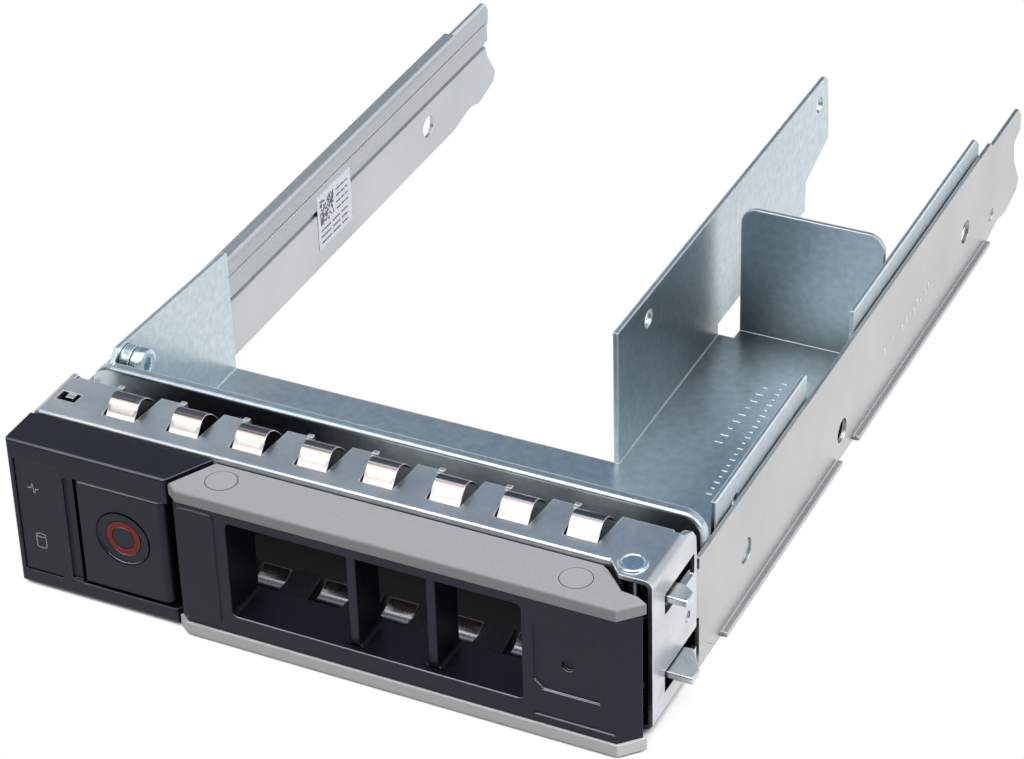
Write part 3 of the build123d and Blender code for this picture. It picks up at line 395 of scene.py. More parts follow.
def stamped_marks(name, starts, lengths, along, across, up, width, height):
    """Low pressed ridges. Over each one, u runs along it and v goes round it once:
    across = width / 2 * cos v, up = height * max(sin v, 0) - sink, both times (1 - u^8)."""
    starts = np.asarray(starts, float)
    u = np.linspace(-1, 1, 9)[None, :, None]
    v = np.linspace(0, 2 * np.pi, 12, endpoint=False)[None, None, :]
    taper = (1 - u**8) + 0 * v
    half = np.asarray(lengths, float)[:, None, None] / 2
    side = width / 2 * np.cos(v) * taper
    lift = np.where(np.sin(v) > 0, height, height * 2) * np.sin(v) * taper
    run = half * u + 0 * v
    side = side + 0 * run
    lift = lift + 0 * run
    points = (
        starts[:, None, None, :]
        + run[..., None] * np.asarray(along, float)
        + side[..., None] * np.asarray(across, float)
        + lift[..., None] * np.asarray(up, float)
    )
    return surface_mesh(name, points, wrap=True)


edge_mask_group()
hollow_shade_mask_group()
sheet_skin_group()

rail_lip_reach = 1.05 * mm
rail_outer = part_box("right_rail")[1].x - rail_lip_reach
rail_steel = sheet_metal(
    "rail_steel",
    bright=(0.62, 0.62, 0.62),
    dull=(0.55, 0.55, 0.555),
    edge=(0.8, 0.8, 0.79),
    cloud=60.0,
    grain=2600.0,
    stretch=(1.0, 0.35, 1.0),
    smooth=0.3,
    rough=0.42,
    relief=0.0008 * mm,
    hollow_shade_reach=3.0,
)
rounded_copy("right_rail", rail_steel, 0.12 * mm)

# The marks are painted lighter than the rail's own steel, a painted highlight.
mark_steel_painted_light = sheet_metal(
    "mark_steel_painted_light",
    bright=(0.8, 0.8, 0.8),
    dull=(0.7, 0.7, 0.7),
    edge=(0.96, 0.96, 0.96),
    cloud=60.0,
    grain=2600.0,
    stretch=(1.0, 1.0, 1.0),
    smooth=0.25,
    rough=0.35,
    relief=0.0008 * mm,
    hollow_shade_reach=1.0,
    edge_metallic=0.1,
)
mark_y = np.array([15.9, 19.7, 24.6, 26.4, 28.2, 30.4, 32.0, 33.6, 36.4, 37.6, 38.8]) * mm
mark_rows = len(mark_y)
mark_z = (8.9 + 0.5 * np.sin(np.arange(mark_rows) * 2.3)) * mm
rail_marks = stamped_marks(
    "right_rail_marks",
    np.stack([np.full(mark_rows, rail_outer), mark_y, mark_z], axis=1),
    np.where(np.arange(mark_rows) % 3 == 1, 0.9, 1.4) * mm,
    along=(0, 0, 1),
    across=(0, 1, 0),
    up=(1, 0, 0),
    width=0.5 * mm,
    height=0.16 * mm,
)
place_piece(rail_marks, mark_steel_painted_light, "tray")

# The left rail
# The same plated strip, stepped outward above the middle to leave a seat for the light pipes.
# A narrow flange is folded over along its top.

left_steel = sheet_metal(
    "left_rail_steel",
    bright=(0.63, 0.65, 0.66),
    dull=(0.55, 0.58, 0.6),
    edge=(0.8, 0.8, 0.8),
    cloud=45.0,
    grain=2600.0,
    stretch=(1.0, 0.35, 1.0),
    smooth=0.38,
    rough=0.5,
    relief=0.0008 * mm,
    hollow_shade_reach=3.0,
)
rounded_copy("left_rail", left_steel, 0.12 * mm)

# The front cover
# One folded steel sheet with a satin nickel look. It holds the fingers, the bezel and the handle.
# The bends at its front edge are polished by the press tool.

cover_steel = sheet_metal(
    "cover_steel",
    bright=(0.79, 0.81, 0.83),
    dull=(0.63, 0.66, 0.69),
    edge=(0.94, 0.94, 0.93),
    cloud=150.0,
    grain=3000.0,
    stretch=(0.4, 1.0, 1.0),
    smooth=0.28,
    rough=0.36,
    relief=0.0004 * mm,
    hollow_shade_reach=50.0,
    # Level faces low inside the cover get painted shade.
    shade_below=8.0 * mm,
)
rounded_copy("front_cover", cover_steel, 0.1 * mm)

# The shielding fingers
# Two strips of bright spring steel, 0.2 mm thick, clipped inside the cover. Each finger is bowed
# so that it presses on the next bay. Faces that lean back are tinted pink, and level tops and backs
# get painted shade.

finger_steel = sheet_metal(
    "finger_steel",
    bright=(0.86, 0.82, 0.8),
    dull=(0.76, 0.7, 0.67),
    edge=(0.9, 0.88, 0.87),
    cloud=200.0,
    grain=4000.0,
    stretch=(1.0, 0.3, 0.3),
    smooth=0.12,
    rough=0.2,
    relief=0.001 * mm,
)


def shade_and_tint_group():
    """A pinkish tint where a face leans back, and painted shade: dark where a face is level, and
    darker where it looks behind."""
    tree, given, result = new_group("heat_tint", [("Color", "Color")], [("Color", "Color")])
    facing = split(tree, add_node(tree, "ShaderNodeNewGeometry").outputs["Normal"])
    colour = given.outputs["Color"]
    for axis_name, low, high, share, tint_and_shade in (
        ("Z", 0.7, 0.78, 0.85, (0.66, 0.49, 0.43, 1)),
        ("Z", 0.8, 0.88, 0.87, (0.16, 0.17, 0.19, 1)),
        ("Y", 0.0, 0.3, 0.96, (0.04, 0.05, 0.07, 1)),
    ):
        mix = add_node(tree, "ShaderNodeMix", data_type="RGBA")
        mix.inputs["B"].default_value = tint_and_shade
        amount = ranged(tree, facing[axis_name], low, high, 0.0, share)
        tree.links.new(amount, mix.inputs["Factor"])
        tree.links.new(colour, mix.inputs["A"])
        colour = mix.outputs["Result"]
    tree.links.new(colour, result.inputs["Color"])
    return tree


# The fingers' colour passes through the tint, which also paints their level tops and their backs
# dark as shade.
finger_tree = finger_steel.node_tree
finger_shader = finger_tree.nodes["Principled BSDF"]
tint_and_shade = add_node(finger_tree, "ShaderNodeGroup", node_tree=shade_and_tint_group())
finger_tree.links.new(finger_shader.inputs["Base Color"].links[0].from_socket, tint_and_shade.inputs["Color"])
finger_tree.links.new(tint_and_shade.outputs["Color"], finger_shader.inputs["Base Color"])
rounded_copy("emi_fingers_top", finger_steel, 0.04 * mm)
rounded_copy("emi_fingers_bottom", finger_steel, 0.04 * mm)

# The adapter bracket
# One folded sheet with a mottled zinc coat that holds a smaller drive between the rails.
# A rolled rim stiffens its front wall, and press marks stand on its base.

adapter_zinc = sheet_metal(
    "adapter_zinc",
    bright=(0.65, 0.73, 0.775),
    dull=(0.53, 0.615, 0.67),
    edge=(0.8, 0.83, 0.84),
    cloud=750.0,
    grain=1100.0,
    stretch=(1.0, 0.7, 1.0),
    smooth=0.29,
    rough=0.33,
    relief=0.0,
    hollow_shade_reach=24.0,
    # Beyond the lit side the flange gets no painted hollow shade and a more matt coat, so that it
    # reads lighter.
    lit_side=rail_outer - 1.5 * mm,
    edge_metallic=0.25,
    edge_radius=0.6,
)
rounded_copy("adapter_bracket", adapter_zinc, 0.1 * mm)

base_top = 2.0 * mm
tick_count = 9
tick_start, tick_end = np.array([33.0, -10.0]), np.array([34.1, 7.7])
fold_count = 21
fold_start, fold_end = np.array([37.2, -24.0]), np.array([36.6, 10.0])
tick_run = np.linspace(tick_start, tick_end, tick_count) * mm
fold_run = np.linspace(fold_start, fold_end, fold_count) * mm
tick_lengths = np.concatenate([
    np.where(np.arange(tick_count) % 3 == 2, 1.0, 1.8),
    np.where(np.arange(fold_count) % 2 == 1, 0.8, 1.3),
])
base_marks = stamped_marks(
    "adapter_base_marks",
    np.column_stack(
        [np.concatenate([tick_run, fold_run]), np.full(tick_count + fold_count, base_top)]
    ),
    tick_lengths * mm,
    along=(1, 0, 0),
    across=(0, 1, 0),
    up=(0, 0, 1),
    width=0.4 * mm,
    height=0.12 * mm,
)
place_piece(base_marks, adapter_zinc, "tray")

# The collar and the adapter's screw
# A turned steel collar and a socket head screw, both blue zinc, which fix the adapter's ear.
# The head has a six sided recess and rolled edges.


def turned_surface(name, profile, centre, axis):
    """A profile of (radius, height, sides) rings about an axis through a centre. Its points are
    centre + height * axis + radius * k * (first * cos t + second * sin t). k is 1 on a round ring,
    and cos(pi / sides) / cos(t mod (2 pi / sides) - pi / sides) on a ring with flat sides."""
    axis = np.asarray(axis, float)
    first = np.array([axis[1], axis[2], axis[0]])
    second = np.cross(axis, first)
    turn_steps = 60
    t = np.linspace(0, 2 * np.pi, turn_steps, endpoint=False)
    rings = []
    for radius, height, sides in profile:
        part = 2 * np.pi / sides if sides else 1.0
        shape = np.cos(part / 2) / np.cos(t % part - part / 2) if sides else np.ones(turn_steps)
        out = first * np.cos(t)[:, None] + second * np.sin(t)[:, None]
        rings.append(np.asarray(centre, float) + height * axis + radius * shape[:, None] * out)
    return surface_mesh(name, np.array(rings), wrap=True)


blue_zinc = sheet_metal(
    "blue_zinc",
    bright=(0.74, 0.84, 0.9),
    dull=(0.6, 0.72, 0.8),
    edge=(0.86, 0.9, 0.93),
    cloud=400.0,
    grain=5000.0,
    stretch=(1.0, 1.0, 1.0),
    smooth=0.24,
    rough=0.34,
    relief=0.0005 * mm,
    hollow_shade_reach=1.0,
)
rounded_copy("screw_collar", blue_zinc, 0.15 * mm)
screw_low, screw_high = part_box("adapter_screw")
screw_middle = (screw_low + screw_high) / 2
screw_reach = (screw_high.x - screw_low.x) / mm
screw_shank = 1.5
screw_head = 2.6
head_start = screw_reach - 2.2
socket_floor = screw_reach - 1.6
screw_profile = [
    (0.0, 0.0, 0),
    (screw_shank - 0.3, 0.0, 0),
    (screw_shank, 0.3, 0),
    (screw_shank, head_start, 0),
    (screw_head - 0.25, head_start, 0),
    (screw_head, head_start + 0.25, 0),
    (screw_head, screw_reach - 0.4, 0),
    (screw_head - 0.12, screw_reach - 0.12, 0),
    (screw_head - 0.45, screw_reach, 0),
    (1.62, screw_reach, 0),
    (1.45, screw_reach - 0.08, 6),
    (1.38, screw_reach - 0.3, 6),
    (1.34, socket_floor, 6),
    (0.0, socket_floor - 0.2, 0),
]
screw_surface = turned_surface(
    "adapter_screw_turned",
    [(radius * mm, height * mm, sides) for radius, height, sides in screw_profile],
    (screw_low.x, screw_middle.y, screw_middle.z),
    (1, 0, 0),
)
screw = place_piece(screw_surface, blue_zinc, "tray")
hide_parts("adapter_screw")

# The light pipes
# Two clear moulded strips that carry light from the back of the drive to the status strip.
# They lie in the step of the left rail and show it through them.


def moulded_skin_group():
    """Moulded plastic: a fine spark eroded texture, faint clouds, and a second colour on edges that
    look up and on rounded edges that lean forward: painted highlight where it is lighter, painted
    shade where it is darker.
    """
    tree, given, result = new_group(
        "moulded_skin",
        [
            ("Base", "Color"),
            ("Rubbed", "Color"),
            ("Texture Scale", "Float"),
            ("Stretch", "Vector"),
            ("Smoothest", "Float"),
            ("Roughest", "Float"),
            ("Shine", "Float"),
            ("Speckle", "Float"),
            ("Edge Radius", "Float"),
            ("Edge Shine", "Float"),
            ("Tilt Share", "Float"),
            ("Tilt Facing", "Float"),
        ],
        [
            ("Color", "Color"),
            ("Roughness", "Float"),
            ("Height", "Float"),
            ("Specular IOR Level", "Float"),
        ],
    )
    polished_roughness = 0.24
    place = stretched(tree, given.outputs["Stretch"])
    cloud = noise_of(tree, place, 55.0, 4.0)
    texture = noise_of(tree, place, given.outputs["Texture Scale"], 2.0)
    edge = grouped(
        tree,
        "edge_mask",
        Radius=given.outputs["Edge Radius"],
        Facing=given.outputs["Tilt Facing"],
    )
    # Edges that look up and rounded strips that lean forward take the second colour: painted
    # highlight where it is lighter than the base, painted shade where it is darker.
    tilted = combined(tree, "MULTIPLY", edge["Tilt"], given.outputs["Tilt Share"])
    edge_wear_and_highlight = combined(tree, "MAXIMUM", edge["Upper"], tilted)
    edge_shading_share = combined(tree, "MULTIPLY", edge_wear_and_highlight, ranged(tree, cloud, 0.3, 0.6, 0.6, 1.0))
    haze = ranged(tree, texture, 0.38, 0.66, 0.0, given.outputs["Speckle"])
    colour = mixed_colour(tree, haze, given.outputs["Base"], given.outputs["Rubbed"])
    colour = mixed_colour(tree, edge_shading_share, colour, given.outputs["Rubbed"])
    roughness = ranged(
        tree, texture, 0.3, 0.7, given.outputs["Smoothest"], given.outputs["Roughest"]
    )
    polished = combined(tree, "MAXIMUM", edge["Mask"], tilted)
    roughness = ranged(tree, polished, 0.2, 1.0, roughness, polished_roughness)
    shine = ranged(tree, polished, 0.2, 1.0, given.outputs["Shine"], given.outputs["Edge Shine"])
    tree.links.new(colour, result.inputs["Color"])
    tree.links.new(roughness, result.inputs["Roughness"])
    tree.links.new(texture, result.inputs["Height"])
    tree.links.new(shine, result.inputs["Specular IOR Level"])


def moulded_plastic(
    name,
    base,
    speck_and_edge_shading,
    texture,
    smooth,
    rough,
    relief,
    stretch=(1.0, 1.0, 1.0),
    shine=0.4,
    speckle=0.1,
    edge_radius=0.2,
    edge_shine=1.0,
    tilt_share=0.0,
    tilt_facing=-0.3,
    **plain
):
    """A moulded plastic in its own colours. Speckle is how much of the second colour dots it, and
    tilt share is how much of that colour the rounded upper edges show, where their normal's y is
    below tilt facing. On edges the second colour is painted highlight where it is lighter and
    painted shade where it is darker."""
    values = {
        "Base": (*base, 1),
        "Rubbed": (*speck_and_edge_shading, 1),
        "Texture Scale": texture,
        "Stretch": stretch,
        "Smoothest": smooth,
        "Roughest": rough,
        "Shine": shine,
        "Speckle": speckle,
        "Edge Radius": edge_radius * mm,
        "Edge Shine": edge_shine,
        "Tilt Share": tilt_share,
        "Tilt Facing": tilt_facing,
    }
    return material_with(name, "moulded_skin", values, relief, **plain)


moulded_skin_group()
pipe_clear = moulded_plastic(
    "pipe_clear",
    base=(0.66, 0.69, 0.72),
    speck_and_edge_shading=(0.97, 0.97, 0.97),
    texture=1500.0,
    smooth=0.12,
    rough=0.3,
    relief=0.004 * mm,
    stretch=(1.0, 0.02, 1.0),
    shine=0.5,
    Transmission_Weight=0.15,
    IOR=1.49,
)
for pipe in ("light_pipe_upper", "light_pipe_lower"):
    rounded_copy(pipe, pipe_clear, 0.12 * mm)

# The rail label
# A thin paper label on the left rail. Its print is a plain block of squares and plain bars.

label_paper = moulded_plastic(
    "label_paper",
    base=(0.9, 0.92, 0.97),
    speck_and_edge_shading=(0.95, 0.96, 0.98),
    texture=3500.0,
    smooth=0.45,
    rough=0.6,
    relief=0.002 * mm,
)
label_ink = moulded_plastic(
    "label_ink",
    base=(0.1, 0.11, 0.15),
    speck_and_edge_shading=(0.3, 0.3, 0.34),
    texture=3500.0,
    smooth=0.4,
    rough=0.6,
    relief=0.001 * mm,
)
rounded_copy("rail_label", label_paper, 0.03 * mm)
label_low, label_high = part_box("rail_label")
ink_thickness = 0.02 * mm


def printed_bars(name, low_y, low_z, wide, tall, face_x):
    """Flat printed patches that stand a little off a face at x. Each is a grid of two by two
    points with its four walls, as a profile x = face, face + ink, face + ink, face across y."""
    low_y, low_z = np.asarray(low_y, float), np.asarray(low_z, float)
    across = np.array([0.0, 0.0, 1.0, 1.0])[None, None, :]
    lift = np.array([0.0, ink_thickness, ink_thickness, 0.0])[None, None, :]
    rise = np.array([0.0, 1.0])[None, :, None]
    y = low_y[:, None, None] + np.asarray(wide, float)[:, None, None] * across + 0 * rise
    z = low_z[:, None, None] + np.asarray(tall, float)[:, None, None] * rise + 0 * across
    x = face_x + lift + 0 * z
    points = np.stack([x, y, z], axis=-1)
    mesh = surface_mesh(name, points)
    work = bmesh.new()
    work.from_mesh(mesh)
    bmesh.ops.holes_fill(work, edges=work.edges)
    bmesh.ops.recalc_face_normals(work, faces=work.faces)
    work.to_mesh(mesh)
    work.free()
    return mesh


square_size = 0.36 * mm
square_count = 14
squares = np.random.default_rng(7).random((square_count, square_count)) > 0.48
square_row, square_column = np.nonzero(squares)
label_margin = 0.9 * mm
code_rise = 4.7 * mm
code_y = label_low.y + label_margin + square_column * square_size
code_z = label_low.z + code_rise + square_row * square_size
bar_tops = np.array([8.9, 7.6, 6.3, 5.0, 3.4, 2.2, 1.0]) * mm
bar_starts = np.array([0.56, 0.56, 0.56, 0.56, 0.0, 0.0, 0.0])
bar_parts = np.array([0.0, 0.4, 0.72])
bar_share = np.array([0.34, 0.26, 0.2])
bar_height = 0.32 * mm
label_span = label_high.y - label_low.y - 2 * label_margin
bar_run = label_span * (1 - bar_starts)[:, None]
bar_y = label_low.y + label_margin + label_span * bar_starts[:, None] + bar_run * bar_parts
bar_z = (label_low.z + bar_tops)[:, None] + 0 * bar_parts[None, :]
bar_w = bar_run * bar_share
bar_h = np.full(bar_w.shape, bar_height)
label_print = printed_bars(
    "label_print",
    np.concatenate([code_y, bar_y.ravel()]),
    np.concatenate([code_z, bar_z.ravel()]),
    np.concatenate([np.full(code_y.shape, square_size), bar_w.ravel()]),
    np.concatenate([np.full(code_y.shape, square_size), bar_h.ravel()]),
    label_high.x,
)
place_piece(label_print, label_ink, "tray")

# The bezel housing and the status strip
# A black moulded housing clipped over the left end of the cover. A smoked strip in it carries
# two small pale symbols, a pulse line and a stack, that light up from behind.

# The upper and forward edges of the black and smoked plastics are painted a little lighter, a
# painted highlight.
black_plastic = moulded_plastic(
    "black_plastic",
    base=(0.0048, 0.0056, 0.0105),
    speck_and_edge_shading=(0.12, 0.125, 0.145),
    texture=5200.0,
    smooth=0.34,
    rough=0.46,
    relief=0.004 * mm,
    speckle=0.02,
    edge_radius=0.3,
    tilt_share=1.0,
    Specular_Tint=(0.72, 0.77, 1.0, 1),
)
smoked_plastic = moulded_plastic(
    "smoked_plastic",
    base=(0.0048, 0.0056, 0.0105),
    speck_and_edge_shading=(0.25, 0.26, 0.29),
    texture=6000.0,
    smooth=0.28,
    rough=0.38,
    relief=0.002 * mm,
    speckle=0.01,
    tilt_share=1.0,
    Specular_Tint=(0.72, 0.77, 1.0, 1),
)
rounded_copy("bezel_housing", black_plastic, 0.16 * mm)
rounded_copy("status_strip", smoked_plastic, 0.12 * mm)

symbol_paint = moulded_plastic(
    "symbol_paint",
    base=(0.45, 0.46, 0.5),
    speck_and_edge_shading=(0.6, 0.61, 0.65),
    texture=4000.0,
    smooth=0.45,
    rough=0.55,
    relief=0.001 * mm,
)
strip_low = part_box("status_strip")[0]


def drawn_line(name, path, face_y, width, thickness):
    """A painted line on a face that looks along -y. A square section of the given width and
    thickness is carried along the path, its corners at path +- width / 2 * normal."""
    path = np.asarray(path, float)
    step = np.gradient(path, axis=0)
    step /= np.linalg.norm(step, axis=1)[:, None]
    normal = np.stack([-step[:, 1], step[:, 0]], axis=1)
    sides = np.array([-0.5, 0.5, 0.5, -0.5]) * width
    depths = np.array([0.0, 0.0, -1.0, -1.0]) * thickness
    flat = path[:, None, :] + normal[:, None, :] * sides[None, :, None]
    points = np.stack(
        [flat[..., 0], face_y + depths[None, :] + 0 * flat[..., 0], flat[..., 1]], axis=-1
    )
    return surface_mesh(name, points, wrap=True)


def dense(corners):
    """Points along straight runs between corners."""
    corners = np.asarray(corners, float)
    steps = 5
    t = np.linspace(0, 1, steps, endpoint=False)[None, :, None]
    runs = corners[:-1, None, :] * (1 - t) + corners[1:, None, :] * t
    return np.concatenate([runs.reshape(-1, 2), corners[-1:]])


symbol_line = 0.16 * mm
symbol_lift = 0.03 * mm
pulse_x = strip_low.x + 3.0 * mm
pulse_z = strip_low.z + 15.9 * mm
pulse_path = dense(
    np.array([(-1.0, 0.0), (-0.4, 0.0), (-0.1, 1.0), (0.2, -1.0), (0.45, 0.0), (1.0, 0.0)]) * mm
    + (pulse_x, pulse_z)
)
stack_x = strip_low.x + 3.4 * mm
stack_z = strip_low.z + 6.1 * mm
stack_radius = 0.85 * mm
stack_half = 1.0 * mm
stack_dip = 0.35 * mm


def stack_arc(turn, height):
    """An ellipse of the stack symbol: x = radius * cos turn, z = height + dip * sin turn."""
    return np.stack(
        [stack_x + stack_radius * np.cos(turn), stack_z + height + stack_dip * np.sin(turn)],
        axis=1,
    )


stack_left, stack_right = stack_x - stack_radius, stack_x + stack_radius
stack_base, stack_head = stack_z - stack_half, stack_z + stack_half
stack_top = stack_arc(np.linspace(0, 2 * np.pi, 25), stack_half)
stack_side = np.concatenate([
    dense([(stack_left, stack_head), (stack_left, stack_base)]),
    stack_arc(np.linspace(np.pi, 2 * np.pi, 13), -stack_half)[1:-1],
    dense([(stack_right, stack_base), (stack_right, stack_head)]),
])
for name, path in (
    ("symbol_pulse", pulse_path),
    ("symbol_stack_top", stack_top),
    ("symbol_stack_side", stack_side),
):
    symbol = drawn_line(name, path, strip_low.y, symbol_line, symbol_lift)
    place_piece(symbol, symbol_paint, "tray")

# The release button, its spring and the catch
# A black button with a shallow dish and an orange ring. It is pressed against a coil spring and
# slides a small catch that lets the handle go.

# The button's upper and forward edges are painted near white, a painted highlight.
button_plastic = moulded_plastic(
    "button_plastic",
    base=(0.0048, 0.0056, 0.0105),
    speck_and_edge_shading=(0.75, 0.76, 0.8),
    texture=5200.0,
    smooth=0.34,
    rough=0.46,
    relief=0.004 * mm,
    speckle=0.01,
    edge_radius=0.02,
    tilt_share=1.0,
    Specular_Tint=(0.72, 0.77, 1.0, 1),
)
ring_orange = moulded_plastic(
    "ring_orange",
    base=(0.29, 0.03, 0.016),
    speck_and_edge_shading=(0.42, 0.06, 0.035),
    texture=3000.0,
    smooth=0.35,
    rough=0.5,
    relief=0.002 * mm,
    shine=0.2,
)
rounded_copy("release_button", button_plastic, 0.3 * mm)
rounded_copy("button_ring", ring_orange, 0.08 * mm)
rounded_copy("release_catch", button_plastic, 0.1 * mm)


def wound_wire(name, radius, wire, turns, length, start, axis):
    """A helix about an axis. Its line is start + length * s * axis + radius * (first * cos 2 pi n s
    + second * sin 2 pi n s), and a circle of the wire's radius is carried along it."""
    axis = np.asarray(axis, float)
    first = np.array([axis[1], axis[2], axis[0]])
    second = np.cross(axis, first)
    steps = 24
    ring = 10
    s = np.linspace(0, 1, int(turns * steps) + 1)[:, None]
    angle = 2 * np.pi * turns * s
    out = first * np.cos(angle) + second * np.sin(angle)
    line = np.asarray(start, float) + length * s * axis + radius * out
    swell = wire / 2 * np.minimum(1, np.minimum(s, 1 - s) * turns * steps)
    t = np.linspace(0, 2 * np.pi, ring, endpoint=False)[None, :, None]
    points = line[:, None, :] + swell[:, None, :] * (
        out[:, None, :] * np.cos(t) + axis * np.sin(t)
    )
    return surface_mesh(name, points, wrap=True)


spring_low, spring_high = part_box("button_spring")
spring_middle = (spring_low + spring_high) / 2
spring_wire = 0.4 * mm
spring_length = spring_high.y - spring_low.y
button_coil = wound_wire(
    "button_coil",
    (spring_high.x - spring_low.x - spring_wire) / 2,
    spring_wire,
    3.0,
    spring_length - spring_wire,
    (spring_middle.x, spring_low.y + spring_wire / 2, spring_middle.z),
    (0, 1, 0),
)
coil = place_piece(button_coil, finger_steel, "tray")
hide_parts("button_spring")
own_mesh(coil)

# The swing handle
# A black moulded grip with three windows, closed by a grey cap above and below. Two round plugs
# fix each cap, and a raised panel stands at its free end.

# The handle's upper and forward edges are painted light grey, a painted highlight.
handle_plastic = moulded_plastic(
    "handle_plastic",
    base=(0.0048, 0.0056, 0.0105),
    speck_and_edge_shading=(0.45, 0.46, 0.5),
    texture=4800.0,
    smooth=0.34,
    rough=0.46,
    relief=0.004 * mm,
    speckle=0.01,
    edge_radius=0.02,
    tilt_share=1.0,
    Specular_Tint=(0.72, 0.77, 1.0, 1),
)
cap_grey = moulded_plastic(
    "cap_grey",
    base=(0.35, 0.342, 0.348),
    speck_and_edge_shading=(0.6, 0.59, 0.6),
    texture=2600.0,
    smooth=0.42,
    rough=0.55,
    relief=0.009 * mm,
    speckle=0.1,
)
# Painted light: the lower cap is the same grey plastic as the top cap, painted much lighter for the
# light on it.
low_cap_painted_lighter = moulded_plastic(
    "low_cap_painted_lighter",
    base=(0.82, 0.81, 0.815),
    speck_and_edge_shading=(0.92, 0.91, 0.92),
    texture=2600.0,
    smooth=0.42,
    rough=0.55,
    relief=0.009 * mm,
    speckle=0.15,
)
# The plugs' rounded rims are painted near black, a painted shade for a fine groove round each plug.
plug_grey = moulded_plastic(
    "plug_grey",
    base=(0.38, 0.373, 0.375),
    speck_and_edge_shading=(0.03, 0.03, 0.03),
    texture=3400.0,
    smooth=0.4,
    rough=0.55,
    relief=0.006 * mm,
    speckle=0.02,
    edge_radius=0.32,
    edge_shine=0.05,
    tilt_share=1.0,
    tilt_facing=2.0,
)
rounded_copy("handle_body", handle_plastic, 0.16 * mm)
rounded_copy("handle_top_cap", cap_grey, 0.08 * mm)
rounded_copy("handle_bottom_cap", low_cap_painted_lighter, 0.08 * mm)
rounded_copy("handle_plugs", plug_grey, 0.2 * mm)

# The hook lever, its pivot pin and spring
# A folded steel lever that carries two hooks through the windows of the cover as the handle
# closes. It turns with the handle on a riveted pin inside a wound torsion spring.

lever_steel = sheet_metal(
    "lever_steel",
    bright=(0.8, 0.82, 0.83),
    dull=(0.7, 0.73, 0.75),
    edge=(0.9, 0.9, 0.9),
    cloud=150.0,
    grain=900.0,
    stretch=(1.0, 1.0, 0.6),
    smooth=0.26,
    rough=0.36,
    relief=0.0008 * mm,
)
rounded_copy("hook_lever", lever_steel, 0.25 * mm)
pin_low, pin_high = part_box("pivot_pin")
pin_middle = (pin_low + pin_high) / 2
pin_reach = (pin_high.z - pin_low.z) / mm
pin_shank = 1.5
pin_head = 2.35
head_depth = 0.4
pin_profile = [
    (0.0, 0.0, 0),
    (pin_head - 0.3, 0.0, 0),
    (pin_head, 0.2, 0),
    (pin_head, head_depth, 0),
    (pin_shank, head_depth, 0),
    (pin_shank, pin_reach - head_depth, 0),
    (pin_head, pin_reach - head_depth, 0),
    (pin_head - 0.04, pin_reach - 0.22, 0),
    (pin_head - 0.2, pin_reach - 0.06, 0),
    (pin_head - 0.42, pin_reach, 0),
    (pin_head - 0.58, pin_reach - 0.05, 0),
    (pin_head - 0.66, pin_reach - 0.14, 0),
    (0.0, pin_reach - 0.14, 0),
]
pin_zinc = sheet_metal(
    "pin_zinc",
    bright=(0.74, 0.86, 0.94),
    dull=(0.62, 0.76, 0.88),
    edge=(0.86, 0.9, 0.93),
    cloud=400.0,
    grain=5000.0,
    stretch=(1.0, 1.0, 1.0),
    smooth=0.2,
    rough=0.3,
    relief=0.001 * mm,
)
pin_surface = turned_surface(
    "pivot_pin_turned",
    [(radius * mm, height * mm, sides) for radius, height, sides in pin_profile],
    (pin_middle.x, pin_middle.y, pin_low.z),
    (0, 0, 1),
)
pin = place_piece(pin_surface, pin_zinc, frame["nodes"]["pivot_pin"]["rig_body"])
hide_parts("pivot_pin")
torsion = frame["nodes"]["handle_spring"]
torsion.data.materials.clear()
torsion.data.materials.append(finger_steel)

# The floor, the light and the camera
# A white floor with a painted shadow where the object covers it, plain soft lamps, and the camera
# of the photograph.

floor_half = 3.0
floor_mesh = bpy.data.meshes.new("floor")
floor_mesh.from_pydata(
    [
        (-floor_half, -floor_half, 0),
        (floor_half, -floor_half, 0),
        (floor_half, floor_half, 0),
        (-floor_half, floor_half, 0),
    ],
    [],
    [(0, 1, 2, 3)],
)
floor = bpy.data.objects.new("floor", floor_mesh)
bpy.context.scene.collection.objects.link(floor)

# Painted shadow: camera and glossy rays see white glow where the floor is open, and a near black
# paper where ambient occlusion finds it covered and in a box under the front of the tray.
shade_reach = 40.0 * mm
covered_share = 0.2
clear_share = 0.38
white_paper = bpy.data.materials.new("white_paper")
white_paper.use_nodes = True
paper_tree = white_paper.node_tree
paper = paper_tree.nodes["Principled BSDF"]
paper.inputs["Roughness"].default_value = 0.9
glow = add_node(paper_tree, "ShaderNodeEmission")
seen = add_node(paper_tree, "ShaderNodeLightPath").outputs
# The paper is near black to the camera and mid grey to the light it throws back, so covered floor
# shows as painted shadow.
paper_shadow_tone = add_node(paper_tree, "ShaderNodeMix", data_type="RGBA")
paper_shadow_tone.inputs["A"].default_value = (0.007, 0.007, 0.008, 1)
paper_shadow_tone.inputs["B"].default_value = (0.36, 0.36, 0.36, 1)
paper_tree.links.new(seen["Is Diffuse Ray"], paper_shadow_tone.inputs["Factor"])
paper_tree.links.new(paper_shadow_tone.outputs["Result"], paper.inputs["Base Color"])
covered = add_node(paper_tree, "ShaderNodeAmbientOcclusion", samples=8)
covered.inputs["Distance"].default_value = shade_reach
open_share = ranged(paper_tree, covered.outputs["AO"], covered_share, clear_share, 0.0, 1.0)
painted_shadow_low = (-0.049, -0.0805)
painted_shadow_high = (0.049, -0.0572)
painted_shadow_blur = 2.0 * mm
floor_place = split(paper_tree, add_node(paper_tree, "ShaderNodeTexCoord").outputs["Object"])
outside_painted_shadow = []
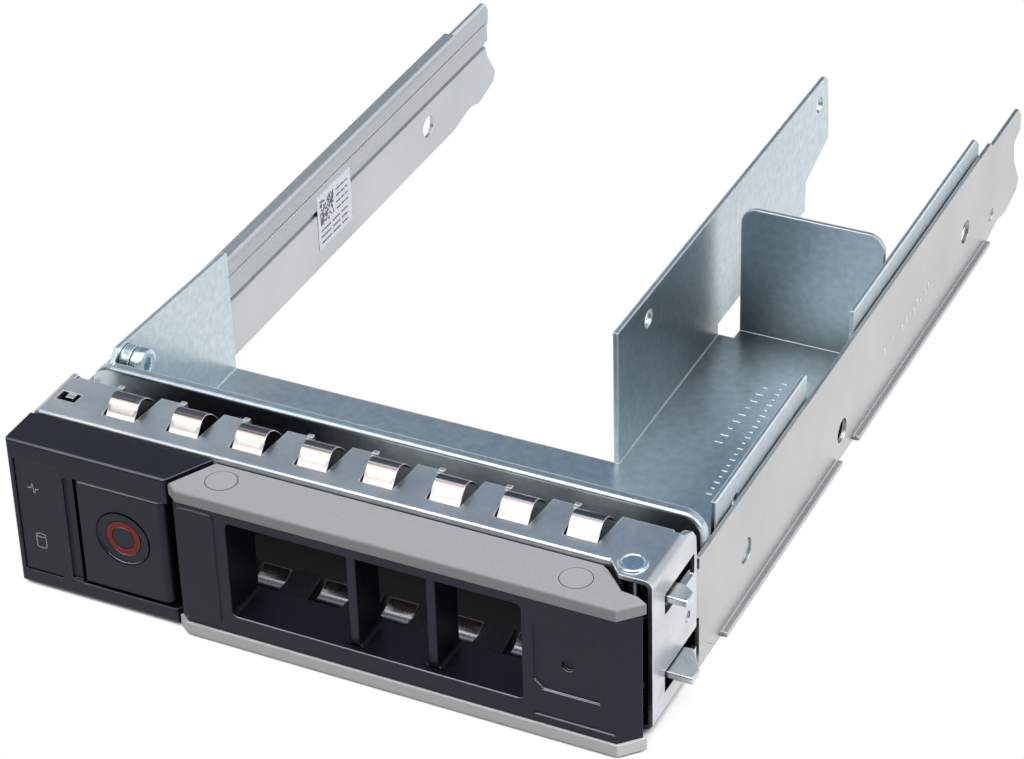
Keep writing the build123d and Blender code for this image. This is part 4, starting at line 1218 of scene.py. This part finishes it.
for axis_name, low, high in zip("XY", painted_shadow_low, painted_shadow_high):
    off_middle = combined(paper_tree, "SUBTRACT", floor_place[axis_name], (low + high) / 2)
    away = combined(paper_tree, "ABSOLUTE", off_middle, 0.0)
    half_span = (high - low) / 2
    outside_painted_shadow.append(ranged(paper_tree, away, half_span, half_span + painted_shadow_blur, 0.0, 1.0))
open_floor = combined(
    paper_tree, "MULTIPLY", open_share, combined(paper_tree, "MAXIMUM", *outside_painted_shadow)
)
either = combined(paper_tree, "MAXIMUM", seen["Is Camera Ray"], seen["Is Glossy Ray"])
every = combined(paper_tree, "MAXIMUM", either, seen["Is Transmission Ray"])
paper_mix = add_node(paper_tree, "ShaderNodeMixShader")
paper_tree.links.new(
    combined(paper_tree, "MULTIPLY", every, open_floor), paper_mix.inputs["Fac"]
)
paper_tree.links.new(paper.outputs["BSDF"], paper_mix.inputs[1])
paper_tree.links.new(glow.outputs["Emission"], paper_mix.inputs[2])
paper_tree.links.new(
    paper_mix.outputs["Shader"], paper_tree.nodes["Material Output"].inputs["Surface"]
)
floor_mesh.materials.append(white_paper)

room_back = (0.13, 0.195, 0.275, 1)
room_sides = (0.66, 0.68, 0.7, 1)
room_front = (0.06, 0.06, 0.065, 1)
world = bpy.data.worlds.new("studio_room")
bpy.context.scene.world = world
world.use_nodes = True
room = world.node_tree
backdrop = room.nodes["Background"]
backdrop.inputs["Color"].default_value = (1, 1, 1, 1)
ambient = add_node(room, "ShaderNodeBackground")
direction = split(room, add_node(room, "ShaderNodeTexCoord").outputs["Generated"])
back_turn = 0.2
aside = combined(room, "ABSOLUTE", combined(room, "ADD", direction["X"], back_turn), 0.0)
room_blend = add_node(room, "ShaderNodeMix", data_type="RGBA")
room_blend.inputs["A"].default_value = room_back
room_blend.inputs["B"].default_value = room_sides
room.links.new(ranged(room, aside, 0.1, 0.5, 0.0, 1.0), room_blend.inputs["Factor"])
front_blend = add_node(room, "ShaderNodeMix", data_type="RGBA")
front_blend.inputs["B"].default_value = room_front
room.links.new(room_blend.outputs["Result"], front_blend.inputs["A"])
room.links.new(
    ranged(room, direction["Y"], 0.1, -0.3, 0.0, 1.0), front_blend.inputs["Factor"]
)
room.links.new(front_blend.outputs["Result"], ambient.inputs["Color"])
room_path = add_node(room, "ShaderNodeLightPath")
room_mix = add_node(room, "ShaderNodeMixShader")
room.links.new(room_path.outputs["Is Camera Ray"], room_mix.inputs["Fac"])
room.links.new(ambient.outputs["Background"], room_mix.inputs[1])
room.links.new(backdrop.outputs["Background"], room_mix.inputs[2])
room.links.new(room_mix.outputs["Shader"], room.nodes["World Output"].inputs["Surface"])


def soft_lamp(name, place, size, level):
    """A square lamp that faces the object. Level is its brightness as seen in a mirror."""
    lamp = bpy.data.lights.new(name, "AREA")
    lamp.shape = "SQUARE"
    lamp.size = size
    lamp.energy = level * math.pi * size * size
    holder = bpy.data.objects.new(name, lamp)
    bpy.context.scene.collection.objects.link(holder)
    holder.location = place
    holder.rotation_euler = holder.location.to_track_quat("Z", "Y").to_euler()


soft_lamp("front_left_lamp", (-0.3, -0.56, 0.68), 0.55, 1.5)
soft_lamp("top_lamp", (0.05, -0.14, 0.9), 0.85, 2.6)
soft_lamp("right_lamp", (0.85, -0.1, 0.5), 0.5, 4.4)

camera_data = bpy.data.cameras.new("camera")
camera_data.lens = 117.0
camera_data.sensor_width = 36.0
camera_data.clip_start = 0.01
camera = bpy.data.objects.new("camera", camera_data)
bpy.context.scene.collection.objects.link(camera)
eye = (0.201555, -0.42435, 0.3133)
eye_right = (0.90275, 0.4294, -0.02567)
eye_down = (0.21928, -0.51071, -0.83132)
eye_forward = (-0.37007, 0.74484, -0.55521)
camera.matrix_world = Matrix([
    (right, -down, -forward, at)
    for right, down, forward, at in zip(eye_right, eye_down, eye_forward, eye)
] + [(0, 0, 0, 1)])
bpy.context.scene.camera = camera
bpy.context.scene.view_settings.view_transform = "Standard"
